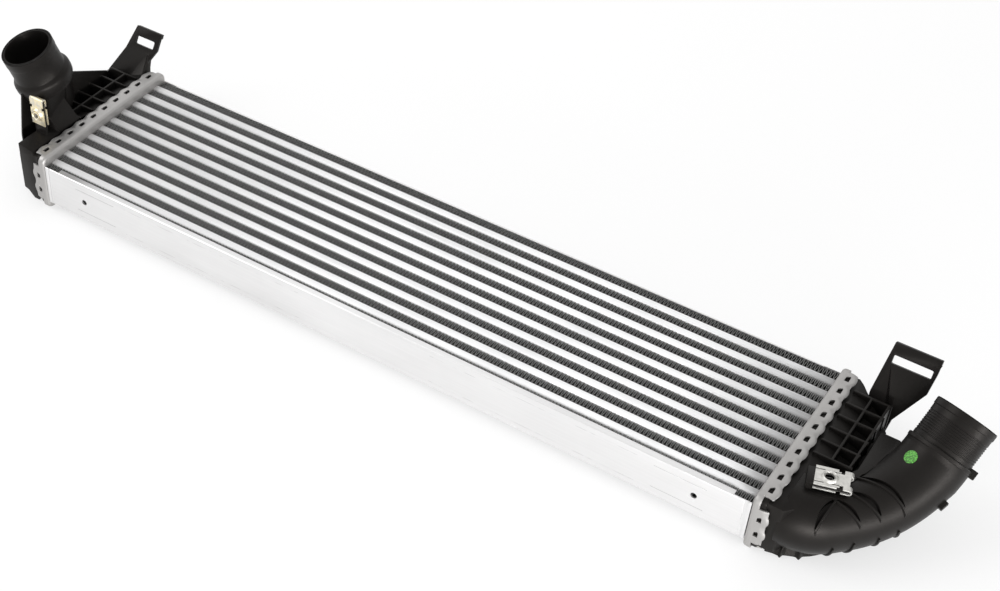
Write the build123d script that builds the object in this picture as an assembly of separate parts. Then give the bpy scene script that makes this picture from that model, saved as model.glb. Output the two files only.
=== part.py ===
from build123d import *
import math
import os

# Intercooler: flat tubes with fins between two headers, and a moulded tank on each header.
# Origin at the centre of the core. X runs along the tubes to the right tank, Y across the
# tubes to the back, and Z up, through the core as the cooling air flows.

# Core
TUBE_COUNT = 10
TUBE_PITCH = 14.5
TUBE_THICKNESS = 7.0
TUBE_DEPTH = 36.0
TUBE_NOSE_RADIUS = 2.8
TUBE_WALL = 0.6
TUBE_STICK_OUT = 2.5
CORE_LENGTH = 639.0
BRAZE_GAP = 0.05

# Folded strips. The real waves repeat every 3 mm; these are coarser, and the fins' sheet is thicker.
FIN_SETBACK = 1.0
FIN_PITCH = 45.0
FIN_SHEET = 0.5
TURBULATOR_PITCH = 10.0
TURBULATOR_SHEET = 0.4

# Side plates
PLATE_SHEET = 1.2
FRONT_PLATE_LIP = 4.2
BACK_PLATE_LIP = 0.6
PLATE_LIP_SETBACK = 13.5
PLATE_END_GAP = 0.3
PLATE_GROOVE_SETBACK = 4.0
PLATE_GROOVE_WIDTH = 2.4
PLATE_GROOVE_DEPTH = 0.7
PLATE_HOLE_SETBACK = 41.0
PLATE_HOLE_RADIUS = 2.5

# Headers
HEADER_END_MARGIN = 6.0
HEADER_SIDE_MARGIN = 8.0
HEADER_CORNER = 6.0
HEADER_SHEET = 1.5
HEADER_EDGE_CHAMFER = 1.4
RIM_LENGTH = 10.0
CRIMP_LENGTH = 4.2
CRIMP_LEAN = 1.5
WINDOW_SETBACK = 7.4
WINDOW_WIDTH = 3.4
WINDOW_LENGTH = 6.2
WINDOW_CORNER = 1.3
END_WINDOW_PITCH = 14.6
END_WINDOW_LENGTH = 5.0
WAVE_DEPTH = 1.5
WAVE_FLOOR = 1.0
WAVE_MOUTH = 4.4
CORNER_NOTCH_ACROSS = 5.5
CORNER_NOTCH_DOWN = 7.4
CORNER_NOTCH_SETBACK = 6.1
SLOT_GAP = 0.1

# Gaskets
GASKET_HEIGHT = 3.0
GASKET_WIDTH = 4.5
SEAT_GAP = 0.3

# Tanks, both
TANK_WALL = 3.0
MOUTH_CORNER = 2.0
FOOT_HEIGHT = 5.0
FOOT_LEDGE = 2.2
RIB_THICKNESS = 1.8
RIB_TOP = 25.0
RIB_START = 1.2

# How far a cut runs past what it cuts
OVERRUN = 1.0

# Flats that stand for a curve. Only screw holes and the beads that a hose seals on are truly round.
SMALL_CORNER_FACETS = 2
HEADER_CORNER_FACETS = 3
PIPE_SIDES = 24
MARK_SIDES = 16
HOLE_SIDES = 16

# Headers and tanks are built with X = 0 at the end of the core, and both point to the right.
CORE_END = CORE_LENGTH / 2
TUBE_END = CORE_END + HEADER_SHEET + TUBE_STICK_OUT
CRIMP_END = RIM_LENGTH + CRIMP_LENGTH
FOOT_FACE = HEADER_SHEET + GASKET_HEIGHT

# Half sizes across, and what follows from them
HALF_WIDTH = TUBE_COUNT * TUBE_PITCH / 2 + HEADER_END_MARGIN
HALF_DEPTH = TUBE_DEPTH / 2 + HEADER_SIDE_MARGIN
FIN_DEPTH = TUBE_DEPTH - 2 * FIN_SETBACK
FIN_HEIGHT = TUBE_PITCH - TUBE_THICKNESS
OUTER_TUBE_Y = (TUBE_COUNT - 1) / 2 * TUBE_PITCH
FIN_OUTER_Y = OUTER_TUBE_Y + TUBE_THICKNESS / 2 + FIN_HEIGHT
FOOT_HALF_WIDTH = HALF_WIDTH - HEADER_SHEET - SEAT_GAP
FOOT_HALF_DEPTH = HALF_DEPTH - HEADER_SHEET - SEAT_GAP
NECK_HALF_WIDTH = FOOT_HALF_WIDTH - FOOT_LEDGE
NECK_HALF_DEPTH = FOOT_HALF_DEPTH - FOOT_LEDGE

# Plenums of both tanks
SHOULDER = 18.5
OUTER_HALF_DEPTH = 12.0
RIB_ROWS = [row * TUBE_PITCH for row in range(-1, 5)]

# Right tank: plenum, then the duct along its front
RIGHT_REACH = 48.5
RIGHT_FRONT_REACH = 20.5
RIGHT_FRONT_TAPER = 40.0
RIGHT_BACK_TAPER = 30.0
RIB_SETBACK = 4.0
RIGHT_RIB_COLUMNS = (29.5, 42.5)
DUCT_RADIUS = 24.2
DUCT_START = (34.5, -52.0, 0.0)
DUCT_START_TANGENT = 12.0
DUCT_START_RUNS = 2
DUCT_BEND = (80.0, -4.0, 0.0)
ELBOW_TANGENT = 43.7
ELBOW_RUNS = 4
SHELF_HALF_HEIGHT = 24.0
SHELF_BACK_Y = 31.0
SHELF_CORNERS = ((0.0, -37.5), (14.0, -16.0), (21.0, 8.0), (18.0, 25.0), (13.0, 31.0))
SHELF_INNER_Y = -12.0
SHELF_INNER_STEP = 24.0
SHELF_LAP = 1.0
DUCT_RIB_RISE = 1.8
DUCT_RIB_BOTTOM = 8.0
DUCT_RIB_TOP = 32.0
DUCT_RIBS = (
    ((51.5, -16.0), (92.5, -20.2)),
    ((58.9, -28.2), (82.5, -34.6)),
    ((47.2, -47.7), (72.5, -47.4)),
    ((44.9, -51.2), (44.4, -76.0)),
)

# Right hose stub, with distances from its mouth
RIGHT_STUB_AXIS = (0.20, 0.71, 0.68)
RIGHT_STUB_RADIUS = 22.7
RIGHT_STUB_BORE = 20.4
RIGHT_BEAD_RADIUS = 23.5
RIGHT_BEAD_LENGTH = 5.5
STOP_BEAD_RADIUS = 25.0
STOP_BEAD_START = 30.0
STOP_BEAD_LENGTH = 3.0
ELBOW_NECK = 3.3

# Right bracket
RIGHT_BRACKET_FOOT_Y = 56.9
RIGHT_BRACKET_LEAN = 28.0
RIGHT_SLOT_LENGTH = 29.5
RIGHT_SLOT_WIDTH = 6.5
RIGHT_SLOT_CENTRE = (45.1, 46.0)
RIGHT_BRACKET = (
    (28.0, 57.0),
    (63.2, 56.0),
    (63.1, 47.5),
    (61.5, 33.0),
    (45.9, 9.0),
    (43.9, -6.0),
    (26.5, -6.0),
    (24.1, 21.2),
)
BRACKET_SHEET = 3.0
BRACKET_BAR = 4.0
BRACKET_BAR_RISE = 1.5
SLOT_CORNER = 0.8

# Left tank
LEFT_REACH = 45.5
LEFT_FRONT_TAPER = 16.0
LEFT_BACK_TAPER = 22.0
LEFT_RIB_COLUMNS = (28.5,)
LEFT_BLOCK_REACH = 30.5
LEFT_BLOCK_TOP = 28.0
LEFT_BLOCK_LENGTH = 34.0
LEFT_BLOCK_CHAMFER = 10.0
LEFT_WEB_X = 42.5
LEFT_FRONT_WEB = ((-30, 62), (-52, 58.7), (-58, 22), (-58, 2), (-30, 2))
LEFT_BACK_WEB = ((-8, 2), (-8, 48), (8, 48), (52, 25), (52, 2))
LEFT_GUSSET_X = 17.0
LEFT_GUSSET = ((57.8, 4), (76, 4), (78, 25), (81.7, 38), (77.5, 38))

# Left hose stub, with distances from its mouth
LEFT_STUB_MOUTH = (46.4, -35.1, 94.6)
LEFT_STUB_AXIS = (0.184, -0.267, 0.946)
LEFT_STUB_DEPTH = 88.0
LEFT_LIP_RADIUS = 22.5
LEFT_LIP_LENGTH = 8.0
LEFT_NECK_RADIUS = 21.9
LEFT_NECK_LENGTH = 25.0
LEFT_BULGE_RADIUS = 25.0
LEFT_BULGE_LENGTH = 13.0
LEFT_BULGE_ROUND = 3.0
LEFT_PIPE_RADIUS = 23.5
LEFT_STUB_BORE = 19.9
LEFT_HOOD_BACK = 38.5
LEFT_HOOD_SHELF = 32.5
LEFT_HOOD_HEIGHTS = (10.0, 25.0, 42.0)
LEFT_HOOD_START_Y = -41.0
LEFT_HOOD_END_Y = -16.0
LEFT_PIPE_LIMIT = ((20.5, -52.0), (26.5, -35.0), (32.5, -9.0), (41.5, 8.0), (80.5, 8.0), (80.5, -60.0))

# Left bracket
LEFT_BRACKET_FOOT_Y = 55.5
LEFT_BRACKET_LEAN = 30.1
LEFT_SLOT_LENGTH = 20.0
LEFT_SLOT_WIDTH = 7.0
LEFT_SLOT_CENTRE = (24.2, 45.6)
LEFT_BRACKET = (
    (36.3, 56.0),
    (9.4, 55.5),
    (9.7, 42.8),
    (17.0, 30.0),
    (17.5, 6.0),
    (46.5, 6.0),
    (54.4, 16.0),
    (42.4, 37.2),
)

# Clip nuts
CLIP_SHEET = 1.0
CLIP_BEND_SIDES = 12
CLIP_GAP = 0.15
CLIP_LUG = 2.5
CLIP_LUG_LENGTH = 23.0
RIGHT_CLIP_WIDTH = 18.0
LEFT_CLIP_WIDTH = 14.0
CLIP_LUG_MARGIN = 1.0
CLIP_POST = 5.0
LEFT_CLIP_POST = 12.0
CLIP_LENGTH = 26.0
CLIP_HOLE_SETBACK = 16.0
CLIP_HOLE_RADIUS = 2.5
CLIP_PASS_RADIUS = 3.5
CLIP_COLLAR = 1.0
CLIP_COLLAR_HEIGHT = 2.0
CLIP_NOTCH_X = 17.0
CLIP_NOTCH_WIDTH = 3.0
CLIP_NOTCH_DEPTH = 2.0
RIGHT_CLIP_FOOT = (26.5, -39.9)
RIGHT_CLIP_Z = 29.0
RIGHT_CLIP_TURN = 16.9
LEFT_CLIP_FOOT = (27.0, -49.5, 35.0)
CLIP_ROOM = 0.6

# Inspection mark
MARK_RADIUS = 4.8
MARK_THICKNESS = 0.3
MARK_CENTRE = (75.2, 4.0, 40.0)
MARK_LEAN = (-0.2, -0.6, 0.75)


def tube_positions():
    """Y of every tube, from the back to the front."""
    return [OUTER_TUBE_Y - i * TUBE_PITCH for i in range(TUBE_COUNT)]


def zigzag(length, height, pitch, sheet):
    """A folded strip seen on edge: a sheet that runs up and down between two lines."""
    folds = 2 * round(length / pitch)
    rise = (height - sheet) / 2
    upper = []
    lower = []
    for i in range(folds + 1):
        along = -length / 2 + i * length / folds
        across = rise if i % 2 else -rise
        upper.append((along, across + sheet / 2))
        lower.append((along, across - sheet / 2))
    return make_face(Polyline(*upper, *reversed(lower), close=True))


def rounded(width, depth, radius, facets=SMALL_CORNER_FACETS):
    """A rectangle whose round corners are made of flats."""
    points = []
    for quarter, (side_x, side_y) in enumerate(((1, 1), (-1, 1), (-1, -1), (1, -1))):
        for step in range(facets + 1):
            angle = (quarter + step / facets) * math.pi / 2
            x = side_x * (width / 2 - radius) + radius * math.cos(angle)
            y = side_y * (depth / 2 - radius) + radius * math.sin(angle)
            points.append((x, y))
    return make_face(Polyline(*points, close=True))


def tube_section(grow=0.0):
    """Cross-section of a tube, larger by grow all round."""
    thickness = TUBE_THICKNESS + 2 * grow
    depth = TUBE_DEPTH + 2 * grow
    return Plane.YZ * rounded(thickness, depth, TUBE_NOSE_RADIUS + grow)


def make_tube(y):
    """One flat tube, open at both ends."""
    wall = tube_section() - tube_section(-TUBE_WALL)
    return Pos(0, y, 0) * extrude(wall, TUBE_END, both=True)


def make_turbulator(y):
    """The folded strip inside a tube, which runs its whole length."""
    across = TUBE_DEPTH - 2 * TUBE_NOSE_RADIUS
    height = TUBE_THICKNESS - 2 * TUBE_WALL - 2 * BRAZE_GAP
    strip = zigzag(across, height, TURBULATOR_PITCH, TURBULATOR_SHEET)
    section = Plane(origin=(0, y, 0), x_dir=(0, 0, 1), z_dir=(1, 0, 0)) * strip
    return extrude(section, TUBE_END, both=True)


def make_air_fin(y):
    """One folded fin strip between two tubes, or between a tube and a side plate."""
    length = CORE_LENGTH - 2 * PLATE_END_GAP
    strip = zigzag(length, FIN_HEIGHT - 2 * BRAZE_GAP, FIN_PITCH, FIN_SHEET)
    return Pos(0, y, 0) * extrude(strip, FIN_DEPTH / 2, both=True)


def make_side_plate(lip):
    """The back side plate: a channel with lips over the outer fin's edges and a hole near each end."""
    length = CORE_LENGTH - 2 * PLATE_END_GAP
    lip_length = length - 2 * PLATE_LIP_SETBACK
    height = FIN_DEPTH + 2 * BRAZE_GAP + 2 * PLATE_SHEET
    inner = FIN_OUTER_Y
    outer = inner + PLATE_SHEET
    web = Pos(0, (inner + outer) / 2, 0) * Box(length, PLATE_SHEET, height)
    lip_z = (height - PLATE_SHEET) / 2
    plate = web
    for z in (-lip_z, lip_z):
        plate += Pos(0, outer - (lip + PLATE_SHEET) / 2, z) * Box(
            lip_length, lip + PLATE_SHEET, PLATE_SHEET
        )
    folds = plate.edges().filter_by(Axis.X).group_by(Axis.Y)[-1]
    plate = chamfer(folds, PLATE_SHEET / 2)
    for end in (-1, 1):
        hole_x = end * (CORE_END - PLATE_HOLE_SETBACK)
        plate -= Pos(hole_x, inner, 0) * Rot(90, 0, 0) * Cylinder(PLATE_HOLE_RADIUS, 4 * PLATE_SHEET)
        groove_x = end * (length / 2 - PLATE_GROOVE_SETBACK)
        plate -= Pos(groove_x, outer, 0) * Box(PLATE_GROOVE_WIDTH, 2 * PLATE_GROOVE_DEPTH, height)
    return plate


def pan_section(x, inset, lean=0.0):
    """Rounded outline of the header or of what fits in it, on the plane at x."""
    width = 2 * (HALF_WIDTH - inset - lean)
    depth = 2 * (HALF_DEPTH - inset - lean)
    return Plane.YZ.offset(x) * rounded(width, depth, HEADER_CORNER - inset, HEADER_CORNER_FACETS)


def pan_block(start, inset):
    """The header's volume from start to the crimp's end, smaller by inset all round."""
    straight = extrude(pan_section(start, inset), RIM_LENGTH - start)
    bottom = pan_section(RIM_LENGTH, inset)
    crimp = loft([bottom, pan_section(CRIMP_END, inset, CRIMP_LEAN)], ruled=True)
    return straight + crimp


def wave_notches():
    """Wedges between the windows, which leave the crimp's edge wavy."""
    notches = Part()
    for i in range(TUBE_COUNT - 1):
        y = OUTER_TUBE_Y - (i + 0.5) * TUBE_PITCH
        outline = Polyline(
            (CRIMP_END + OVERRUN, y - WAVE_MOUTH),
            (CRIMP_END - WAVE_DEPTH, y - WAVE_FLOOR),
            (CRIMP_END - WAVE_DEPTH, y + WAVE_FLOOR),
            (CRIMP_END + OVERRUN, y + WAVE_MOUTH),
            close=True,
        )
        notches += extrude(make_face(outline), 2 * HALF_DEPTH, both=True)
    return notches


def corner_notches():
    """The crimp strip stops short of the four corners."""
    length = CRIMP_END + OVERRUN - CORNER_NOTCH_SETBACK
    notches = Part()
    for y in (-HALF_WIDTH, HALF_WIDTH):
        for z in (-HALF_DEPTH, HALF_DEPTH):
            notches += Pos(CORNER_NOTCH_SETBACK + length / 2, y, z) * Box(
                length, 2 * CORNER_NOTCH_ACROSS, 2 * CORNER_NOTCH_DOWN
            )
    return notches


def window(length, reach):
    """A D-shaped crimp window, to cut through both walls of the header. Its flat side is outward."""
    start = WINDOW_SETBACK - WINDOW_WIDTH / 2
    end = WINDOW_SETBACK + WINDOW_WIDTH / 2
    outline = Polyline(
        (end, -length / 2),
        (end, length / 2),
        (start + WINDOW_CORNER, length / 2),
        (start, length / 2 - WINDOW_CORNER),
        (start, -length / 2 + WINDOW_CORNER),
        (start + WINDOW_CORNER, -length / 2),
        close=True,
    )
    return extrude(make_face(outline), reach, both=True)


def make_header():
    """A header: a pan with tube slots, crimp windows and a crimp leaned over the tank's foot."""
    pan = pan_block(0.0, 0.0)
    rim_edges = pan.edges().group_by(Axis.X)[0]
    pan = chamfer(rim_edges, HEADER_EDGE_CHAMFER)
    pan -= pan_block(HEADER_SHEET, HEADER_SHEET)
    cuts = Part()
    slot = extrude(tube_section(SLOT_GAP), HEADER_SHEET + OVERRUN, both=True)
    side_window = window(WINDOW_LENGTH, 2 * HALF_DEPTH)
    end_window = Rot(90, 0, 0) * window(END_WINDOW_LENGTH, 2 * HALF_WIDTH)
    for y in tube_positions():
        cuts += Pos(0, y, 0) * slot
        cuts += Pos(0, y, 0) * side_window
    for z in (-END_WINDOW_PITCH / 2, END_WINDOW_PITCH / 2):
        cuts += Pos(0, 0, z) * end_window
    return pan - cuts - wave_notches() - corner_notches()


def make_gasket():
    """The rubber ring between the header's floor and the tank's foot."""
    inset = HEADER_SHEET + SEAT_GAP
    width = 2 * (HALF_WIDTH - inset - GASKET_WIDTH)
    depth = 2 * (HALF_DEPTH - inset - GASKET_WIDTH)
    ring = pan_section(HEADER_SHEET, inset) - Plane.YZ.offset(HEADER_SHEET) * Rectangle(width, depth)
    return extrude(ring, GASKET_HEIGHT)


def make_foot():
    """The tank's flange, which the crimp holds down on the gasket."""
    return extrude(pan_section(FOOT_FACE, HEADER_SHEET + SEAT_GAP), FOOT_HEIGHT)


def make_mouth():
    """The tank's opening towards the header."""
    width = 2 * (NECK_HALF_WIDTH - TANK_WALL)
    depth = 2 * (NECK_HALF_DEPTH - TANK_WALL)
    section = Plane.YZ.offset(FOOT_FACE - OVERRUN) * rounded(width, depth, MOUTH_CORNER)
    return extrude(section, OVERRUN + FOOT_HEIGHT + TANK_WALL)


def shrunk(face, inset):
    """The face drawn in by inset, or grown where inset is negative."""
    return offset(face, -inset, kind=Kind.INTERSECTION) if inset else face


def plenum(reach, front_reach, front_taper, back_reach, back_taper, inset):
    """The long box over the header: sloping top and bottom, tapered ends."""
    plan = make_face(Polyline(
        (FOOT_FACE, -NECK_HALF_WIDTH),
        (front_reach, -NECK_HALF_WIDTH),
        (reach, -NECK_HALF_WIDTH + front_taper),
        (reach, NECK_HALF_WIDTH - back_taper),
        (back_reach, NECK_HALF_WIDTH),
        (FOOT_FACE, NECK_HALF_WIDTH),
        close=True,
    ))
    profile = make_face(Polyline(
        (FOOT_FACE, -NECK_HALF_DEPTH),
        (SHOULDER, -NECK_HALF_DEPTH),
        (reach, -OUTER_HALF_DEPTH),
        (reach, OUTER_HALF_DEPTH),
        (SHOULDER, NECK_HALF_DEPTH),
        (FOOT_FACE, NECK_HALF_DEPTH),
        close=True,
    ))
    tall = extrude(shrunk(plan, inset), 2 * HALF_DEPTH, both=True)
    long = extrude(Plane.XZ * shrunk(profile, inset), 2 * HALF_WIDTH, both=True)
    return tall & long


def rib_grid(reach, columns):
    """Stiffening ribs on both sides of the plenum, as thin walls that cross."""
    start = CRIMP_END + RIB_START
    front = min(RIB_ROWS)
    back = max(RIB_ROWS)
    ribs = Part()
    for y in RIB_ROWS:
        ribs += Pos((start + reach) / 2, y, 0) * Box(reach - start, RIB_THICKNESS, 2 * RIB_TOP)
    for x in columns:
        ribs += Pos(x, (front + back) / 2, 0) * Box(RIB_THICKNESS, back - front, 2 * RIB_TOP)
    return ribs


def bracket(outline, foot_y, lean, slot_centre, slot_length, slot_width):
    """A flat arm that leans back, with a slot near its top. The outline is in X and height."""
    slope = math.radians(lean)
    face_plane = Plane(
        origin=(0, foot_y, 0),
        x_dir=(1, 0, 0),
        z_dir=(0, -math.cos(slope), math.sin(slope)),
    )
    along = [(x, z / math.cos(slope)) for x, z in outline]
    plate = make_face(Polyline(*along, close=True))
    slot = Pos(slot_centre[0], slot_centre[1] / math.cos(slope)) * rounded(
        slot_length, slot_width, SLOT_CORNER
    )
    top = max(along, key=lambda point: point[1])[1]
    left = min(x for x, v in along if v > top - BRACKET_BAR)
    right = max(x for x, v in along if v > top - BRACKET_BAR)
    bar = Pos((left + right) / 2, top - BRACKET_BAR / 2) * Rectangle(right - left, BRACKET_BAR)
    arm = extrude(face_plane * (plate - slot), -BRACKET_SHEET)
    return arm + extrude(face_plane * bar, -BRACKET_SHEET - BRACKET_BAR_RISE)


def across_axis(section, origin, direction, along):
    """The section, square to a slanted axis, at this distance from the origin."""
    base = Vector(*origin) + Vector(*direction).normalized() * along
    return Plane(origin=base, z_dir=direction) * section


def along_axis(section, origin, direction, start, end):
    """The section pushed along a slanted axis, between two distances from the origin."""
    return extrude(across_axis(section, origin, direction, start), end - start)


def pipe_section(radius):
    """Cross-section of a pipe, whose flats touch the circle of this radius."""
    return RegularPolygon(radius, PIPE_SIDES, major_radius=False)


def backward(direction):
    """The opposite direction."""
    return tuple(-value for value in direction)


def right_mouth(back=0.0):
    """The point on the right stub's axis at this distance behind its mouth."""
    reach = ELBOW_TANGENT + ELBOW_NECK + STOP_BEAD_START - back
    return Vector(*DUCT_BEND) + Vector(*RIGHT_STUB_AXIS).normalized() * reach


def bend_points(before, corner, after, tangent, runs):
    """Points on the arc that rounds a corner of a centre line, for that many straight runs."""
    inward = (corner - before).normalized()
    outward = (after - corner).normalized()
    arc = TangentArc(corner - inward * tangent, corner + outward * tangent, tangent=inward)
    return [arc @ (i / runs) for i in range(runs + 1)]


def duct(section):
    """The pipe that gathers the air along the right tank's front and bends up to the stub."""
    start = Vector(*DUCT_START)
    bend = Vector(*DUCT_BEND)
    first = Vector(SHOULDER, start.Y, start.Z)
    last = right_mouth(STOP_BEAD_START)
    points = [first]
    points += bend_points(first, start, bend, DUCT_START_TANGENT, DUCT_START_RUNS)
    points += bend_points(start, bend, last, ELBOW_TANGENT, ELBOW_RUNS)
    points.append(last)
    face = across_axis(section, first, (1, 0, 0), 0)
    return sweep(face, path=Polyline(*points), transition=Transition.RIGHT)


def shelf(inset):
    """The flat box that joins the plenum to the duct."""
    start = Vector(*DUCT_START)
    plan = make_face(Polyline(
        (SHOULDER, start.Y),
        (start.X, start.Y),
        *((RIGHT_REACH + x, y) for x, y in SHELF_CORNERS),
        (RIGHT_REACH - SHELF_LAP, SHELF_BACK_Y),
        (RIGHT_REACH - SHELF_LAP, SHELF_INNER_Y),
        (start.X, SHELF_INNER_Y - SHELF_INNER_STEP),
        (SHOULDER, SHELF_INNER_Y - SHELF_INNER_STEP),
        close=True,
    ))
    return extrude(shrunk(plan, inset), SHELF_HALF_HEIGHT - inset, both=True)


def duct_ribs():
    """Four low ribs that fan out over the duct from the clip nut."""
    height = DUCT_RIB_TOP - DUCT_RIB_BOTTOM
    slabs = Part()
    for start, end in DUCT_RIBS:
        run = math.hypot(end[0] - start[0], end[1] - start[1])
        angle = math.degrees(math.atan2(end[1] - start[1], end[0] - start[0]))
        slabs += Pos(*start, DUCT_RIB_BOTTOM) * Rot(0, 0, angle) * Box(
            run, RIB_THICKNESS, height, align=(Align.MIN, Align.CENTER, Align.MIN)
        )
    return duct(pipe_section(DUCT_RADIUS + DUCT_RIB_RISE)) & slabs


def right_stub():
    """Outside of the right hose stub: the bead at its mouth, the barrel and the stop bead."""
    down = backward(RIGHT_STUB_AXIS)
    stop_bead_end = STOP_BEAD_START + STOP_BEAD_LENGTH
    stub = along_axis(Circle(RIGHT_BEAD_RADIUS), right_mouth(), down, 0, RIGHT_BEAD_LENGTH)
    stub += along_axis(pipe_section(RIGHT_STUB_RADIUS), right_mouth(), down, RIGHT_BEAD_LENGTH,
                       stop_bead_end)
    stub += along_axis(pipe_section(STOP_BEAD_RADIUS), right_mouth(), down, STOP_BEAD_START,
                       stop_bead_end)
    return stub


def pass_hole():
    """Outline of the wide hole for the end of the screw, in a clip nut's frame."""
    return Pos(CLIP_LENGTH - CLIP_HOLE_SETBACK, 0) * RegularPolygon(CLIP_PASS_RADIUS, HOLE_SIDES)


def lug(clip_width, post):
    """A tongue that a clip nut is pushed over, with a solid root of this length."""
    width = clip_width - 2 * CLIP_LUG_MARGIN
    tongue = Box(CLIP_LUG_LENGTH, width, CLIP_LUG, align=(Align.MIN, Align.CENTER, Align.CENTER))
    root = Box(post, width, CLIP_LUG, align=(Align.MAX, Align.CENTER, Align.CENTER))
    return tongue + root - extrude(pass_hole(), CLIP_LUG, both=True)


def clip_room(clip_width):
    """The clear space round a clip nut, to cut from what stands too close to it."""
    height = CLIP_LUG + 2 * (CLIP_GAP + CLIP_SHEET + CLIP_ROOM)
    return Box(CLIP_LENGTH + CLIP_ROOM, clip_width + 2 * CLIP_ROOM, height,
               align=(Align.MIN, Align.CENTER, Align.CENTER))


def right_clip_place():
    """Where the right clip nut's frame stands: its length outwards, its collar up."""
    return Pos(*RIGHT_CLIP_FOOT, RIGHT_CLIP_Z) * Rot(0, 0, RIGHT_CLIP_TURN)


def left_clip_place():
    """Where the left clip nut's frame stands: its length up, its collar to the front."""
    return Location(Plane(origin=LEFT_CLIP_FOOT, x_dir=(0, 0, 1), z_dir=(0, -1, 0)))


def right_lug():
    """The right clip nut's tongue and the post that carries it."""
    width = RIGHT_CLIP_WIDTH - 2 * CLIP_LUG_MARGIN
    post = Box(CLIP_POST, width, RIGHT_CLIP_Z, align=(Align.MAX, Align.CENTER, Align.MAX))
    return right_clip_place() * (lug(RIGHT_CLIP_WIDTH, CLIP_POST) + post)


def make_clip(width):
    """A folded nut: a leaf on each side of a tongue, and a raised collar for the thread."""
    inner = CLIP_LUG / 2 + CLIP_GAP
    outer = inner + CLIP_SHEET
    bend_x = CLIP_LENGTH - outer
    upper = Pos(bend_x / 2, (inner + outer) / 2) * Rectangle(bend_x, CLIP_SHEET)
    lower = Pos(bend_x / 2, -(inner + outer) / 2) * Rectangle(bend_x, CLIP_SHEET)
    ring = Pos(bend_x, 0) * (RegularPolygon(outer, CLIP_BEND_SIDES, major_radius=False)
                             - RegularPolygon(inner, CLIP_BEND_SIDES, major_radius=False))
    bend = ring & Pos(bend_x + outer, 0) * Rectangle(2 * outer, 2 * outer)
    section = Plane.XZ * (upper + lower + bend)
    clip = extrude(section, width / 2, both=True)
    hole_x = CLIP_LENGTH - CLIP_HOLE_SETBACK
    collar = RegularPolygon(CLIP_HOLE_RADIUS + CLIP_COLLAR, HOLE_SIDES)
    clip += Pos(hole_x, 0, inner) * extrude(collar, CLIP_SHEET + CLIP_COLLAR_HEIGHT)
    clip -= Pos(hole_x, 0, 0) * Cylinder(
        CLIP_HOLE_RADIUS, 2 * outer + CLIP_COLLAR_HEIGHT, align=(Align.CENTER, Align.CENTER, Align.MIN)
    )
    clip -= extrude(pass_hole(), -2 * outer)
    for y in (-width / 2, width / 2):
        clip -= Pos(CLIP_NOTCH_X, y, 0) * Box(CLIP_NOTCH_WIDTH, 2 * CLIP_NOTCH_DEPTH, 4 * outer)
    return clip


def right_plenum(inset):
    """The right tank's plenum, whose front end gives way to the duct."""
    return plenum(RIGHT_REACH, RIGHT_FRONT_REACH, RIGHT_FRONT_TAPER, CRIMP_END, RIGHT_BACK_TAPER, inset)


def make_tank_right():
    """The right tank in one moulding: foot, plenum, ribs, duct, hose stub, bracket and tongue."""
    shell = make_foot() + right_plenum(0.0)
    shell += rib_grid(RIGHT_REACH - RIB_SETBACK, RIGHT_RIB_COLUMNS)
    shell += shelf(0.0)
    shell += duct(pipe_section(DUCT_RADIUS))
    shell += duct_ribs()
    shell += right_stub()
    shell += bracket(RIGHT_BRACKET, RIGHT_BRACKET_FOOT_Y, RIGHT_BRACKET_LEAN,
                     RIGHT_SLOT_CENTRE, RIGHT_SLOT_LENGTH, RIGHT_SLOT_WIDTH)
    shell += right_lug()
    cavity = make_mouth() + right_plenum(TANK_WALL)
    cavity += shelf(TANK_WALL)
    cavity += duct(pipe_section(DUCT_RADIUS - TANK_WALL))
    cavity += along_axis(pipe_section(RIGHT_STUB_BORE), right_mouth(), backward(RIGHT_STUB_AXIS),
                         -OVERRUN, STOP_BEAD_START + OVERRUN)
    return shell - cavity


def left_plenum(inset):
    """The left tank's plenum."""
    return plenum(LEFT_REACH, LEFT_BLOCK_REACH, LEFT_FRONT_TAPER, SHOULDER, LEFT_BACK_TAPER, inset)


def left_block(inset):
    """The full-height front end of the left tank."""
    profile = make_face(Polyline(
        (FOOT_FACE, -NECK_HALF_DEPTH),
        (CRIMP_END + SEAT_GAP, -NECK_HALF_DEPTH),
        (CRIMP_END + RIB_START, -RIB_TOP),
        (LEFT_BLOCK_REACH - LEFT_BLOCK_CHAMFER, -RIB_TOP),
        (LEFT_BLOCK_REACH, -RIB_TOP + LEFT_BLOCK_CHAMFER),
        (LEFT_BLOCK_REACH, LEFT_BLOCK_TOP),
        (CRIMP_END + RIB_START, RIB_TOP),
        (CRIMP_END + SEAT_GAP, NECK_HALF_DEPTH),
        (FOOT_FACE, NECK_HALF_DEPTH),
        close=True,
    ))
    length = LEFT_BLOCK_LENGTH - 2 * inset
    middle = -NECK_HALF_WIDTH + LEFT_BLOCK_LENGTH / 2
    return Pos(0, middle, 0) * extrude(Plane.XZ * shrunk(profile, inset), length / 2, both=True)


def left_stub():
    """Outside of the left hose stub: lip, neck and bulge."""
    down = backward(LEFT_STUB_AXIS)
    bulge_end = LEFT_NECK_LENGTH + LEFT_BULGE_LENGTH
    rings = (
        (LEFT_NECK_RADIUS, LEFT_NECK_LENGTH),
        (LEFT_BULGE_RADIUS, LEFT_NECK_LENGTH + LEFT_BULGE_ROUND),
        (LEFT_BULGE_RADIUS, bulge_end - LEFT_BULGE_ROUND),
        (LEFT_PIPE_RADIUS, bulge_end),
    )
    sections = [across_axis(pipe_section(radius), LEFT_STUB_MOUTH, down, back) for radius, back in rings]
    stub = along_axis(Circle(LEFT_LIP_RADIUS), LEFT_STUB_MOUTH, down, 0, LEFT_LIP_LENGTH)
    stub += along_axis(pipe_section(LEFT_NECK_RADIUS), LEFT_STUB_MOUTH, down, LEFT_LIP_LENGTH,
                       LEFT_NECK_LENGTH)
    stub += loft(sections, ruled=True)
    return stub


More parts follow.
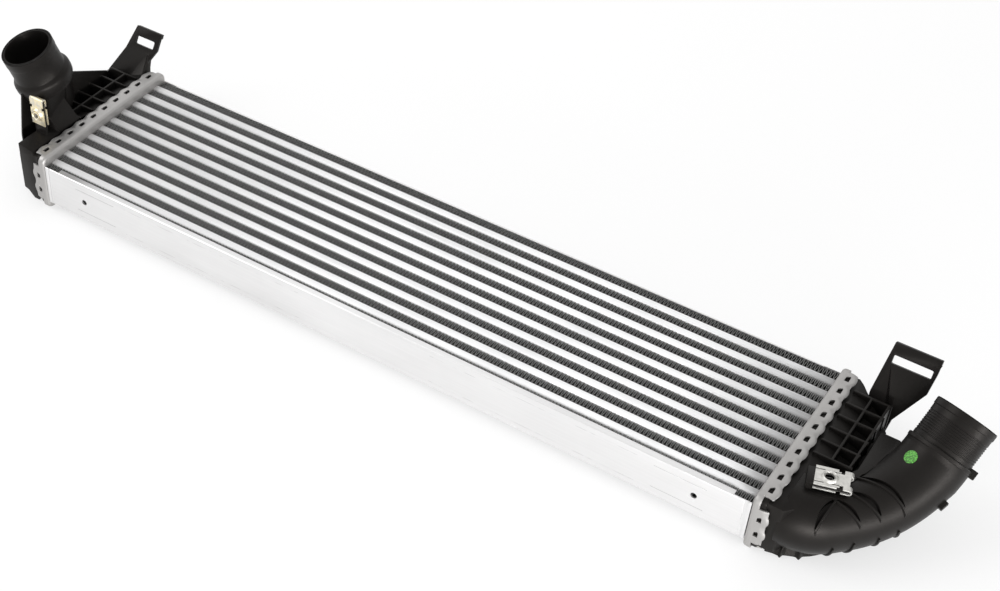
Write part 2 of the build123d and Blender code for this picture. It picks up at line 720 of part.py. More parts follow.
def left_hood(inset):
    """The sloping cover between the crimp and the left pipe."""
    length = LEFT_HOOD_END_Y - LEFT_HOOD_START_Y - 2 * inset
    middle = (LEFT_HOOD_START_Y + LEFT_HOOD_END_Y) / 2
    bottom, eave, top = LEFT_HOOD_HEIGHTS
    start = CRIMP_END + RIB_START
    profile = shrunk(make_face(Polyline(
        (start, bottom),
        (start, eave),
        (LEFT_HOOD_SHELF, top),
        (LEFT_HOOD_BACK, top),
        (LEFT_HOOD_BACK, bottom),
        close=True,
    )), inset)
    return Pos(0, middle, 0) * extrude(Plane.XZ * profile, length / 2, both=True)


def left_pipe(section, inset, depth):
    """The pipe under the bulge, flattened towards the header so that it clears the rib grid."""
    top = LEFT_NECK_LENGTH + LEFT_BULGE_LENGTH - OVERRUN
    pipe = along_axis(section, LEFT_STUB_MOUTH, backward(LEFT_STUB_AXIS), top, depth)
    limit = make_face(Polyline(*LEFT_PIPE_LIMIT, close=True))
    return pipe & extrude(shrunk(limit, inset), LEFT_STUB_MOUTH[2])


def wall_along_y(x, points, thickness):
    """A thin upright wall across X, outlined in Y and Z."""
    face = Plane.YZ.offset(x) * make_face(Polyline(*points, close=True))
    return extrude(face, thickness / 2, both=True)


def make_tank_left():
    """The left tank in one moulding."""
    shell = make_foot() + left_plenum(0.0)
    shell += rib_grid(LEFT_REACH, LEFT_RIB_COLUMNS)
    shell += left_block(0.0)
    shell += left_hood(0.0)
    shell += left_pipe(pipe_section(LEFT_PIPE_RADIUS), 0.0, LEFT_STUB_DEPTH)
    shell += left_stub()
    shell += wall_along_y(LEFT_WEB_X, LEFT_FRONT_WEB, RIB_THICKNESS)
    shell += wall_along_y(LEFT_REACH - RIB_THICKNESS / 2, LEFT_BACK_WEB, RIB_THICKNESS)
    shell += wall_along_y(LEFT_GUSSET_X, LEFT_GUSSET, RIB_THICKNESS)
    shell += bracket(LEFT_BRACKET, LEFT_BRACKET_FOOT_Y, LEFT_BRACKET_LEAN,
                     LEFT_SLOT_CENTRE, LEFT_SLOT_LENGTH, LEFT_SLOT_WIDTH)
    shell -= left_clip_place() * clip_room(LEFT_CLIP_WIDTH)
    shell += left_clip_place() * lug(LEFT_CLIP_WIDTH, LEFT_CLIP_POST)
    cavity = make_mouth() + left_plenum(TANK_WALL)
    cavity += left_block(TANK_WALL)
    cavity += left_hood(TANK_WALL)
    bore = pipe_section(LEFT_STUB_BORE)
    cavity += left_pipe(bore, LEFT_PIPE_RADIUS - LEFT_STUB_BORE, LEFT_STUB_DEPTH - TANK_WALL)
    cavity += along_axis(bore, LEFT_STUB_MOUTH, backward(LEFT_STUB_AXIS), -OVERRUN,
                         LEFT_NECK_LENGTH + LEFT_BULGE_LENGTH)
    return shell - cavity


def make_mark():
    """A thin round spot that lies on the duct."""
    disc = RegularPolygon(MARK_RADIUS, MARK_SIDES)
    punch = along_axis(disc, MARK_CENTRE, MARK_LEAN, -MARK_RADIUS, MARK_RADIUS)
    return (punch & duct(pipe_section(DUCT_RADIUS + MARK_THICKNESS))) - duct(pipe_section(DUCT_RADIUS))


def save(name, solid):
    export_step(solid, f"parts/{name}.step")


def save_right(name, solid):
    """Write a node of the right end at its place on the core."""
    save(name, Pos(CORE_END, 0, 0) * solid)


def save_left(name, solid):
    """Write a node of the left end: moved like the right ones, then mirrored."""
    save(name, mirror(Pos(CORE_END, 0, 0) * solid, Plane.YZ))


def main():
    os.makedirs("parts", exist_ok=True)
    for i, y in enumerate(tube_positions()):
        save(f"tube_{i + 1:02d}", make_tube(y))
        save(f"turbulator_{i + 1:02d}", make_turbulator(y))
    for i in range(TUBE_COUNT + 1):
        save(f"air_fin_{i + 1:02d}", make_air_fin(OUTER_TUBE_Y + (0.5 - i) * TUBE_PITCH))
    save("side_plate_back", make_side_plate(BACK_PLATE_LIP))
    save("side_plate_front", mirror(make_side_plate(FRONT_PLATE_LIP), Plane.XZ))
    header = make_header()
    save_right("header_right", header)
    save_left("header_left", header)
    gasket = make_gasket()
    save_right("gasket_right", gasket)
    save_left("gasket_left", gasket)
    save_right("tank_right", make_tank_right())
    save_left("tank_left", make_tank_left())
    save_right("clip_nut_right", right_clip_place() * make_clip(RIGHT_CLIP_WIDTH))
    save_left("clip_nut_left", left_clip_place() * make_clip(LEFT_CLIP_WIDTH))
    save_right("inspection_mark", make_mark())


main()
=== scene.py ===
import math

import bmesh
import bpy
from bpy.props import FloatProperty, FloatVectorProperty, IntProperty, PointerProperty
from mathutils import Matrix, Vector
from mathutils.bvhtree import BVHTree


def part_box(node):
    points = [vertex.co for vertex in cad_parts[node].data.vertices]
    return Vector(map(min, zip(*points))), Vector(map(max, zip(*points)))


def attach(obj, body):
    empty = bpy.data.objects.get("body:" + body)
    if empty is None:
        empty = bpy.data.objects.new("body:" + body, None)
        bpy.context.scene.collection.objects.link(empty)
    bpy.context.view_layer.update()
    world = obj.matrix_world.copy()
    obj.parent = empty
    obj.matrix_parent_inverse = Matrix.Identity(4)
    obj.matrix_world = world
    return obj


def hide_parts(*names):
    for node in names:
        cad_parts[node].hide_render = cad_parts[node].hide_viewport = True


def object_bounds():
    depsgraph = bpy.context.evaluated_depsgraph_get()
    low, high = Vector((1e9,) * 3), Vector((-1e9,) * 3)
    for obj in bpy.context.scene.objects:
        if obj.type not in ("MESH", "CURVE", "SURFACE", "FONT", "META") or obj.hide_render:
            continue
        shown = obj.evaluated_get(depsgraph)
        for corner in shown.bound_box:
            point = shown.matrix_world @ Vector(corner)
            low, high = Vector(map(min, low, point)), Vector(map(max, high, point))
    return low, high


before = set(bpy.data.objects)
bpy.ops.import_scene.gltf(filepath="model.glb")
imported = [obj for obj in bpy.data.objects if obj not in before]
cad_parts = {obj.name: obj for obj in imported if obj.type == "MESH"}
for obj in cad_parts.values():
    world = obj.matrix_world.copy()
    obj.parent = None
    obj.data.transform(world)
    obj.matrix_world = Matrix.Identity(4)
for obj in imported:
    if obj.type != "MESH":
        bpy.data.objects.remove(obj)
CAD_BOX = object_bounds()

bl_info = {
    "name": "Intercooler",
    "version": (1, 0, 0),
    "blender": (4, 5, 0),
    "location": "View3D > Sidebar > Intercooler",
    "description": "Builds the visible intercooler round its packed solids",
    "category": "Object",
}

# Lengths in capitals are in millimetres, but the stage's are in metres
MM = 0.001
BODY = "root"
TUBE_COUNT = 10
TUBES = [f"tube_{i:02d}" for i in range(1, TUBE_COUNT + 1)]
TURBULATORS = [f"turbulator_{i:02d}" for i in range(1, TUBE_COUNT + 1)]
AIR_FINS = [f"air_fin_{i:02d}" for i in range(1, TUBE_COUNT + 2)]
UP = Vector((0.0, 0.0, 1.0))
CORE_END = 319.5
TUBE_PITCH = 14.5
TUBE_ROWS = [((TUBE_COUNT - 1) / 2 - i) * TUBE_PITCH for i in range(TUBE_COUNT)]


# ---- sizes and colours that a user would change ----


def colour(name, description, default):
    """A colour property with this default."""
    return FloatVectorProperty(
        name=name, description=description, default=default,
        size=3, min=0.0, max=1.0, subtype="COLOR",
    )


def length(name, description, default):
    """A length property, in metres, with a default in millimetres."""
    return FloatProperty(
        name=name, description=description, default=default * MM,
        min=0.0, subtype="DISTANCE", unit="LENGTH",
    )


class IntercoolerSizes(bpy.types.PropertyGroup):
    """Sizes that only the visible model has."""

    fin_pitch: length("Fin pitch", "Length of one wave of an air fin", 3.03)
    fin_sheet: length("Fin sheet", "Thickness of the fin sheet", 0.32)
    tube_wall: length("Tube wall", "Thickness of a tube's wall", 0.6)
    header_sheet: length("Header sheet", "Thickness of the header's sheet", 1.5)
    lobe_rise: length("Crimp lobe rise", "How far the crimp bulges beside each window", 1.1)
    plastic_edge: length("Moulded edge", "Width of the rounding on the tanks' edges", 0.45)
    groove_depth: length("Groove depth", "Depth of the grooves round the right stub", 0.35)
    groove_count: IntProperty(
        name="Grooves", description="Grooves round the right stub", default=9, min=0,
    )


class IntercoolerColours(bpy.types.PropertyGroup):
    """Base colours of the finishes."""

    tube: colour("Tubes", "Bare aluminium of the tubes", (0.9, 0.9, 0.905))
    # Darker than bare aluminium: painted shade of the narrow gaps between the folds
    fin: colour("Air fins", "Aluminium of the folded fins", (0.4, 0.4, 0.39))
    header: colour("Headers", "Satin aluminium of the headers", (0.42, 0.41, 0.4))
    side_plate: colour("Side plates", "Bright aluminium of the side plates", (0.87, 0.865, 0.865))
    plastic: colour("Tanks", "Black moulded plastic", (0.0042, 0.0038, 0.0035))
    silver_zinc: colour("Right clip nut", "Clear zinc plating", (0.62, 0.61, 0.58))
    yellow_zinc: colour("Left clip nut", "Yellow zinc plating", (0.84, 0.74, 0.5))
    mark: colour("Inspection mark", "Green ink of the mark", (0.09, 0.36, 0.045))


# ---- shader maths ----

NOISE_ROUGHNESS = 0.55


def maths(operation, swapped=False):
    """A method that puts a value and others through one Math node."""

    def method(self, *others):
        values = (*others, self) if swapped else (self, *others)
        settings = {"operation": operation}
        return self.finish.node("ShaderNodeMath", settings, dict(enumerate(values)))

    return method


class Value:
    """An output socket in a material, so that shader maths is written as a Python expression."""

    def __init__(self, finish, socket):
        self.finish = finish
        self.socket = socket

    __add__ = maths("ADD")
    __radd__ = maths("ADD", swapped=True)
    __sub__ = maths("SUBTRACT")
    __mul__ = maths("MULTIPLY")
    __truediv__ = maths("DIVIDE")
    __gt__ = maths("GREATER_THAN")
    __lt__ = maths("LESS_THAN")
    __abs__ = maths("ABSOLUTE")
    # Up and down between zero and a period
    repeat = maths("PINGPONG")


class Finish:
    """A material with one Principled shader, and one method that adds any other node."""

    def __init__(self, name, **constants):
        self.material = bpy.data.materials.new(name)
        self.material.use_nodes = True
        self.tree = self.material.node_tree
        self.shader = next(n for n in self.tree.nodes if n.type == "BSDF_PRINCIPLED")
        for socket, value in constants.items():
            self.shader.inputs[socket.replace("_", " ")].default_value = value

    def node(self, kind, settings=None, inputs=None, output=0):
        """Add a node with these settings and sockets and give one of its outputs."""
        node = self.tree.nodes.new(kind)
        for key, value in (settings or {}).items():
            setattr(node, key, value)
        for key, value in (inputs or {}).items():
            self.feed(node.inputs[key], value)
        return Value(self, node.outputs[output])

    def feed(self, socket, value):
        """Link a value to a socket, or set the socket's own number or colour."""
        if isinstance(value, Value):
            self.tree.links.new(value.socket, socket)
        else:
            socket.default_value = value

    def place(self, scale):
        """The object's own coordinates, stretched."""
        coordinates = self.node("ShaderNodeTexCoord", output="Object")
        return self.node("ShaderNodeMapping", inputs={"Vector": coordinates, "Scale": scale})

    def axis(self, name):
        """One of the object's own coordinates, in millimetres."""
        coordinates = self.node("ShaderNodeTexCoord", output="Object")
        return self.node("ShaderNodeSeparateXYZ", inputs={0: coordinates}, output=name) / MM

    def noise(self, scale, detail, stretch=(1.0, 1.0, 1.0)):
        """Noise between 0 and 1, with this many spots to the metre."""
        inputs = {
            "Vector": self.place(stretch), "Scale": scale, "Detail": detail,
            "Roughness": NOISE_ROUGHNESS,
        }
        return self.node("ShaderNodeTexNoise", inputs=inputs, output="Fac")

    def ramp(self, value, low, high):
        """The value run through a colour ramp, from black at one place to white at another."""
        ramped = self.node("ShaderNodeValToRGB", inputs={"Fac": value}, output="Color")
        for element, place in zip(ramped.socket.node.color_ramp.elements, (low, high)):
            element.position = place
        return ramped

    def mix(self, factor, first, second):
        """A colour between two others."""
        settings = {"data_type": "RGBA", "blend_type": "MIX"}
        inputs = {0: factor, 6: solid(first), 7: solid(second)}
        return self.node("ShaderNodeMix", settings, inputs, output=2)

    def set(self, socket, value):
        """Feed one of the shader's sockets."""
        self.feed(self.shader.inputs[socket], value)

    def done(self, tone, roughness, height=None, distance=0.0, strength=1.0):
        """Feed the shader its colour, roughness and bump, in millimetres; give the material."""
        self.set("Base Color", tone)
        self.set("Roughness", roughness)
        if height is not None:
            inputs = {"Height": height, "Distance": distance * MM, "Strength": strength}
            self.set("Normal", self.node("ShaderNodeBump", inputs=inputs, output="Normal"))
        return self.material


def solid(value):
    """A colour with its alpha, or a socket as it is."""
    return value if isinstance(value, Value) else (*value, 1.0)


def shade(base, factor):
    """The colour made darker or lighter."""
    return tuple(min(1.0, level * factor) for level in base)


# ---- finishes ----

# On the fins: the louvres' spacing, and where the cut edge turns bright as painted highlight, up
# from a base; below it the folds carry painted shade
LOUVRE = 0.75
FIN_LIT_EDGE_BASE = 16.0
FIN_LIT_EDGE = (0.84, 0.96)
# On the side plates: height of a pair of press lines, painted dark as shade in their grooves, half
# its width, and its two ends along X
PRESS_LINES = (10.5, 0.22, 246.0, 287.0)
FAINT_LINES = (12.8, 0.2, 60.0, 235.0)
ALONG_TUBE = (0.02, 1.0, 1.0)


def tube_finish(base):
    """Drawn aluminium: fine streaks along the tube and faint braze stains."""
    finish = Finish("drawn aluminium", Metallic=0.08)
    streaks = finish.noise(900.0, 4.0, ALONG_TUBE)
    stains = finish.noise(24.0, 5.0, (0.5, 1.0, 1.0))
    spots = finish.ramp(stains, 0.46, 0.7)
    tone = finish.mix(spots * 0.5 + streaks * 0.25, base, shade(base, 0.72))
    return finish.done(tone, 0.26 + streaks * 0.14 + spots * 0.12, streaks, 0.06, 0.5)


def fin_finish(base):
    """Thin folded aluminium: painted highlight on the cut edges, louvres, and painted shade down
    in the folds.
    """
    finish = Finish("folded fin aluminium", Metallic=0.3)
    depth = abs(finish.axis("Z"))
    louvre = finish.ramp(depth.repeat(LOUVRE) / LOUVRE, 0.25, 0.6)
    patches = finish.noise(420.0, 3.0)
    # The cut edge near the top is painted bright as lit, and the depth below it is painted dark as
    # shade
    edge = finish.ramp(depth - FIN_LIT_EDGE_BASE, *FIN_LIT_EDGE)
    rim = finish.mix(patches, shade(base, 0.5), shade(base, 1.1))
    # Painted shade down in the folds, banded lighter and darker by the louvres
    fold_shade = finish.mix(louvre * 0.5, shade(base, 0.01), shade(base, 0.04))
    return finish.done(finish.mix(edge, fold_shade, rim), 0.38 + patches * 0.2, louvre, 0.25, 0.6)


def header_finish(base):
    """Pressed aluminium with a satin grain and soft clouds."""
    finish = Finish("pressed aluminium", Metallic=0.8)
    grain = finish.noise(2600.0, 2.0)
    clouds = finish.noise(60.0, 4.0)
    tone = finish.mix(clouds * 0.7 + grain * 0.3, shade(base, 1.08), shade(base, 0.84))
    return finish.done(tone, 0.4 + clouds * 0.12 + grain * 0.06, grain, 0.04, 0.6)


def pair_of_lines(height, along, place, half_width, start, end):
    """A mask for two thin lines along X, above and below the middle, at both ends."""
    return (abs(abs(height) - place) < half_width) * (along > start) * (along < end)


def plate_finish(base):
    """Bright rolled aluminium with streaks, smudges and two short press lines near each hole,
    pressed in by bump and painted dark as shade.
    """
    finish = Finish("rolled aluminium", Metallic=0.8)
    along = abs(finish.axis("X"))
    height = finish.axis("Z")
    streaks = finish.noise(700.0, 4.0, ALONG_TUBE)
    smudges = finish.noise(16.0, 5.0, (0.45, 1.0, 1.0))
    broken = finish.ramp(finish.noise(60.0, 2.0, (1.0, 0.0, 0.0)), 0.48, 0.56)
    faint = pair_of_lines(height, along, *FAINT_LINES) * broken
    lines = pair_of_lines(height, along, *PRESS_LINES) * 0.75 + faint * 0.45
    smudged = finish.mix(smudges * 0.8 + streaks * 0.3, base, shade(base, 0.74))
    # The press lines are painted dark: painted shade in their shallow grooves
    tone = finish.mix(lines, smudged, shade(base, 0.35))
    rough = 0.24 + smudges * 0.16 + streaks * 0.08
    return finish.done(tone, rough, streaks * 0.4 - lines, 0.12, 0.5)


def plastic_finish(base):
    """Glass-filled black plastic: a fine moulded skin, with a faint dusty bloom."""
    finish = Finish("black moulded plastic", Specular_IOR_Level=0.17,
                    Specular_Tint=(1.0, 0.94, 0.89, 1.0))
    skin = finish.noise(1900.0, 3.0)
    bloom = finish.noise(55.0, 4.0)
    flow = finish.noise(160.0, 3.0, (1.0, 0.3, 1.0))
    tone = finish.mix(bloom * 0.6 + flow * 0.4, base, shade(base, 2.1))
    rough = 0.3 + bloom * 0.14 + skin * 0.06
    return finish.done(tone, rough, skin * 0.7 + flow * 0.3, 0.09, 0.7)


def zinc_finish(name, base, tint):
    """Zinc plating on sheet steel, with a second tint in soft clouds."""
    finish = Finish(name, Metallic=0.75)
    clouds = finish.noise(240.0, 4.0)
    grain = finish.noise(3000.0, 2.0)
    tone = finish.mix(finish.ramp(clouds, 0.4, 0.68), base, tint)
    return finish.done(tone, 0.34 + clouds * 0.18 + grain * 0.05, grain, 0.03, 0.6)


def mark_finish(base):
    """Green ink dabbed on the plastic, thin in places."""
    finish = Finish("green ink")
    dabs = finish.noise(900.0, 4.0)
    thin = finish.ramp(dabs, 0.44, 0.6)
    specks = finish.ramp(finish.noise(2600.0, 2.0), 0.56, 0.66)
    toned = finish.mix(thin, shade(base, 0.4), shade(base, 1.25))
    tone = finish.mix(specks * 0.7, toned, shade(base, 0.15))
    return finish.done(tone, 0.42 + dabs * 0.2, dabs, 0.08, 0.5)


def rubber_finish():
    """Black sealing rubber with a dull, slightly uneven face."""
    finish = Finish("sealing rubber")
    dust = finish.noise(300.0, 4.0)
    tone = finish.mix(dust, (0.02, 0.02, 0.02), (0.05, 0.05, 0.048))
    return finish.done(tone, 0.65 + dust * 0.2)


# ---- mesh helpers ----

CAD_DOUBLES = 0.01
DOUBLES = 0.001
# Folds above these are rounded: in a copy of a CAD node, and by a Bevel modifier
SOFT_FOLD = math.radians(32.0)
BEVEL_FOLD = math.radians(40.0)


def mark_sharp(bm, angle):
    """Shade the mesh smooth, with every fold above this angle kept sharp."""
    for face in bm.faces:
        face.smooth = True
    for edge in bm.edges:
        edge.smooth = len(edge.link_faces) != 2 or edge.calc_face_angle(0.0) < angle


def linked(name, data):
    """A new object with this data, linked to the scene."""
    thing = bpy.data.objects.new(name, data)
    bpy.context.scene.collection.objects.link(thing)
    return thing


def meshed(name, bm):
    """A new object of a bmesh, which is freed."""
    mesh = bpy.data.meshes.new(name)
    bm.to_mesh(mesh)
    bm.free()
    return linked(name, mesh)


def add_piece(name, bm, material, nodes=(), angle=35.0):
    """Make a finished object of a bmesh: it rides on the body, and stands for these CAD nodes."""
    mark_sharp(bm, math.radians(angle))
    piece = meshed(name, bm)
    piece.data.materials.append(material)
    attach(piece, BODY)
    if nodes:
        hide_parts(*nodes)
    return piece


def paint_nodes(nodes, material):
    """Give CAD nodes that stay as they are a new finish."""
    for node in nodes:
        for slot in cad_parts[node].material_slots:
            slot.material = material


def merged(node):
    """A copy of a CAD node's mesh with its triangles joined up."""
    bm = bmesh.new()
    bm.from_mesh(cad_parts[node].data)
    bmesh.ops.remove_doubles(bm, verts=bm.verts, dist=CAD_DOUBLES * MM)
    return bm


def softened(bm, width, shortest=1.2):
    """A merged copy of a CAD node, with its sharp edges rounded from this length up, in mm."""
    bmesh.ops.dissolve_limit(
        bm, angle_limit=math.radians(1.0), verts=bm.verts, edges=bm.edges, delimit={"NORMAL"}
    )
    edges = [
        edge for edge in bm.edges
        if len(edge.link_faces) == 2
        and edge.calc_face_angle(0.0) > SOFT_FOLD
        and edge.calc_length() > shortest * MM
    ]
    bmesh.ops.bevel(
        bm, geom=edges, offset=width, offset_type="OFFSET", segments=2, profile=0.5,
        affect="EDGES", material=-1, clamp_overlap=False, loop_slide=True,
    )
    return bm


def only(kind, items):
    """Those of the items that are of this kind."""
    return [item for item in items if isinstance(item, kind)]


def closed_up(bm):
    """Merge doubled vertices and turn the faces outwards."""
    bmesh.ops.remove_doubles(bm, verts=bm.verts, dist=DOUBLES * MM)
    bmesh.ops.recalc_face_normals(bm, faces=bm.faces)
    return bm


def outward(bm):
    """Turn the faces of an open shell along X away from its inside."""
    bmesh.ops.recalc_face_normals(bm, faces=bm.faces)
    if max(bm.faces, key=lambda face: face.calc_center_median().z).normal.z < 0:
        bmesh.ops.reverse_faces(bm, faces=bm.faces)
    return bm


def chain(bm, points, closed=False):
    """Vertices joined by edges through these points, in millimetres."""
    verts = [bm.verts.new(Vector(point) * MM) for point in points]
    pairs = zip(verts, verts[1:] + verts[:1]) if closed else zip(verts, verts[1:])
    edges = [bm.edges.new(pair) for pair in pairs]
    return verts, edges


def pushed(bm, edges, offset):
    """Extrude edges by an offset in millimetres, and give the new edges."""
    made = bmesh.ops.extrude_edge_only(bm, edges=edges)["geom"]
    bmesh.ops.translate(bm, vec=Vector(offset) * MM, verts=only(bmesh.types.BMVert, made))
    return only(bmesh.types.BMEdge, made)


def turned(profile, steps=96):
    """A shape turned about Z from pairs of radius and height, in millimetres."""
    bm = bmesh.new()
    verts, edges = chain(bm, [(radius, 0.0, height) for radius, height in profile])
    bmesh.ops.spin(
        bm, geom=verts + edges, cent=(0, 0, 0), axis=(0, 0, 1), angle=2 * math.pi, steps=steps,
        use_merge=True,
    )
    return closed_up(bm)


def slab(outline, offset):
    """A flat outline, filled and pushed by an offset, in millimetres."""
    bm = bmesh.new()
    edges = chain(bm, outline, closed=True)[1]
    faces = bmesh.ops.contextual_create(bm, geom=edges)["faces"]
    made = bmesh.ops.extrude_face_region(bm, geom=faces)["geom"]
    bmesh.ops.translate(bm, vec=Vector(offset) * MM, verts=only(bmesh.types.BMVert, made))
    bmesh.ops.recalc_face_normals(bm, faces=bm.faces)
    return bm


def put(bm, origin, axis):
    """Move a shape made about Z to an origin in millimetres, with Z along this axis."""
    turn = UP.rotation_difference(Vector(axis)).to_matrix().to_4x4()
    bmesh.ops.transform(bm, matrix=Matrix.Translation(Vector(origin) * MM) @ turn, verts=bm.verts)
    return bm


def flipped_to_left(bm):
    """Mirror a shape built for the right end over to the left end."""
    bmesh.ops.scale(bm, vec=(-1, 1, 1), verts=bm.verts)
    bmesh.ops.reverse_faces(bm, faces=bm.faces)
    return bm


# ---- core ----

# Radius and steps of a tube's nose
TUBE_NOSE = (2.0, 6)
# One wave of a fin: place along the wave, and height between its two tubes
WAVE = ((0.0, -0.5), (0.08, -0.49), (0.14, -0.42), (0.36, 0.42), (0.42, 0.49),
        (0.5, 0.5), (0.58, 0.49), (0.64, 0.42), (0.86, -0.42), (0.92, -0.49), (1.0, -0.5))


def rounded_outline(half_y, half_z, radius, steps):
    """Points round a rectangle with round corners, in the YZ plane."""
    points = []
    for quarter, (side_y, side_z) in enumerate(((1, 1), (-1, 1), (-1, -1), (1, -1))):
        for step in range(steps + 1):
            angle = (quarter + step / steps) * math.pi / 2
            y = side_y * (half_y - radius) + radius * math.cos(angle)
            z = side_z * (half_z - radius) + radius * math.sin(angle)
            points.append((0.0, y, z))
    return points


def tube_shape(node):
    """A flat tube's open shell with smooth round noses, where its CAD node is; Solidify gives it
    its wall later.
    """
    low, high = map(Vector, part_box(node))
    length_x, width, depth = (high - low) / MM
    bm = bmesh.new()
    edges = chain(bm, rounded_outline(width / 2, depth / 2, *TUBE_NOSE), closed=True)[1]
    pushed(bm, edges, (length_x, 0, 0))
    middle = (low + high) / 2
    bmesh.ops.translate(bm, vec=(low.x, middle.y, middle.z), verts=bm.verts)
    return outward(bm)


def fin_shape(node, pitch, sheet):
    """One strip of fin: a wave, repeated along the strip, and pushed through its depth."""
    low, high = map(Vector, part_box(node))
    span, height, depth = high - low
    count = round(span / pitch)
    step = span / count
    bm = bmesh.new()
    points = [(x * step / MM, y * (height - sheet) / MM, 0.0) for x, y in WAVE]
    verts, edges = chain(bm, points)
    bmesh.ops.spin(
        bm, geom=verts + edges, cent=(0, 0, 0), axis=(0, 0, 1), angle=0.0, dvec=(step, 0, 0),
        steps=count - 1, use_duplicate=True,
    )
    bmesh.ops.remove_doubles(bm, verts=bm.verts, dist=CAD_DOUBLES * MM)
    pushed(bm, list(bm.edges), (0, 0, depth / MM))
    bmesh.ops.translate(bm, vec=(low.x, (low.y + high.y) / 2, low.z), verts=bm.verts)
    return bm


def thickened(piece, thickness, offset):
    """Give a sheet its wall with a Solidify modifier."""
    modifier = piece.modifiers.new("wall", "SOLIDIFY")
    modifier.thickness = thickness
    modifier.offset = offset


def rounded_edges(piece, width, segments=2):
    """Round a piece's sharp edges with a Bevel modifier."""
    modifier = piece.modifiers.new("edges", "BEVEL")
    modifier.width = width
    modifier.segments = segments
    modifier.limit_method = "ANGLE"
    modifier.angle_limit = BEVEL_FOLD


def add_moulding(name, bm, material, edge, segments=2):
    """Add a plastic piece of a tank with its edges rounded, in millimetres."""
    rounded_edges(add_piece(name, bm, material), edge * MM, segments)


# ---- headers ----

HEADER_HALF_WIDTH = 78.48
HEADER_HALF_DEPTH = 25.98
HEADER_CORNER = 6.0
CORNER_STEPS = 6
WINDOW_HALF = 3.1
END_WINDOWS = (-7.3, 7.3)
END_WINDOW_HALF = 2.5
# Columns of points: round one tube of a long side, and along half of a short side
COLUMNS = (-7.25, -6.2, -5.0, -4.0, -3.1, -2.2, -1.1, 0.0, 1.1, 2.2, 3.1, 4.0, 5.0, 6.2)
END_COLUMNS = (-20.0, -17.0, -14.6, -12.2, -11.0, -9.8, -8.6, -7.3, -6.0, -4.8, -3.6, -2.0, 0.0)
# Rows of points: distance from the floor, and how far they stand in from the outside
ROWS = (
    (0.0, 2.5), (0.2, 1.54), (0.73, 0.73), (1.54, 0.2), (2.5, 0.0), (4.4, 0.0), (5.7, 0.0),
    (7.4, 0.0), (9.1, 0.0), (10.0, 0.35), (11.4, 0.8), (12.8, 1.2), (14.2, 1.9),
)
WINDOW_ROWS = (6, 8)
WINDOW_SLACK = 0.01
# A window's round end: the shares of its half length where it starts and stops, and its rise
WINDOW_ROUND = (0.3, 1.05, 2.1)
# Its tip: the share where it starts, and how far the upper edge comes down
WINDOW_TIP = (0.9, 0.4)
LOBE_REACH = 2.3
LOBE_WAVE = 2.2
# The crimp strip stops short of each corner
CRIMP_HALF_WIDTH = HEADER_HALF_WIDTH - 5.6
CRIMP_HALF_DEPTH = HEADER_HALF_DEPTH - 7.5
# A tube's slot: half its width and depth, radius and steps of its corners
TUBE_SLOT = (3.6, 18.1, 2.9, 3)


def header_columns():
    """The header's columns: place, outward direction, distance from its window, half window."""
    across = Vector((0.0, 1.0, 0.0))
    side = [row + offset for row in sorted(TUBE_ROWS) for offset in COLUMNS]
    side.append(TUBE_ROWS[0] + TUBE_PITCH / 2)
    end = list(END_COLUMNS) + [-z for z in reversed(END_COLUMNS[:-1])]
    long_side = (side, HEADER_HALF_DEPTH, HEADER_HALF_WIDTH, TUBE_ROWS, WINDOW_HALF)
    short_side = (end, HEADER_HALF_WIDTH, HEADER_HALF_DEPTH, END_WINDOWS, END_WINDOW_HALF)
    columns = []
    for axis, sign, out, (values, reach, next_reach, windows, half) in (
        (across, 1, -UP, long_side), (UP, 1, across, short_side),
        (across, -1, UP, long_side), (UP, -1, -across, short_side),
    ):
        for value in values[::sign]:
            near = min(windows, key=lambda window: abs(window - value))
            columns.append((axis * value + out * reach, out, value - near, half))
        ahead = axis * sign
        centre = out * (reach - HEADER_CORNER) + ahead * (next_reach - HEADER_CORNER)
        for step in range(1, CORNER_STEPS):
            angle = step / CORNER_STEPS * math.pi / 2
            direction = out * math.cos(angle) + ahead * math.sin(angle)
            columns.append((centre + direction * HEADER_CORNER, direction, None, None))
    return columns


def header_point(column, row, lobe_rise):
    """Where a column crosses a row, with the window's round end and the crimp's lobes."""
    place, direction, offset, half = column
    x, inset = ROWS[row]
    if offset is not None:
        reach = offset / half
        low, high = (ROWS[index][0] for index in WINDOW_ROWS)
        start, limit, rise = WINDOW_ROUND
        if start < reach < limit:
            low += rise * ((reach - start) / (1.0 - start)) ** 2
        if WINDOW_TIP[0] < reach < limit:
            high -= WINDOW_TIP[1]
        if WINDOW_ROWS[0] <= row <= WINDOW_ROWS[1]:
            x = (low, (low + high) / 2, high)[row - WINDOW_ROWS[0]]
        if row > WINDOW_ROWS[1]:
            lobe = max(0.0, 1.0 - (reach / LOBE_REACH) ** 2)
            inset = max(0.0, inset - lobe_rise * lobe)
            if row == len(ROWS) - 1:
                x -= LOBE_WAVE * (1.0 - lobe)
    return place + Vector((x, 0.0, 0.0)) - direction * inset


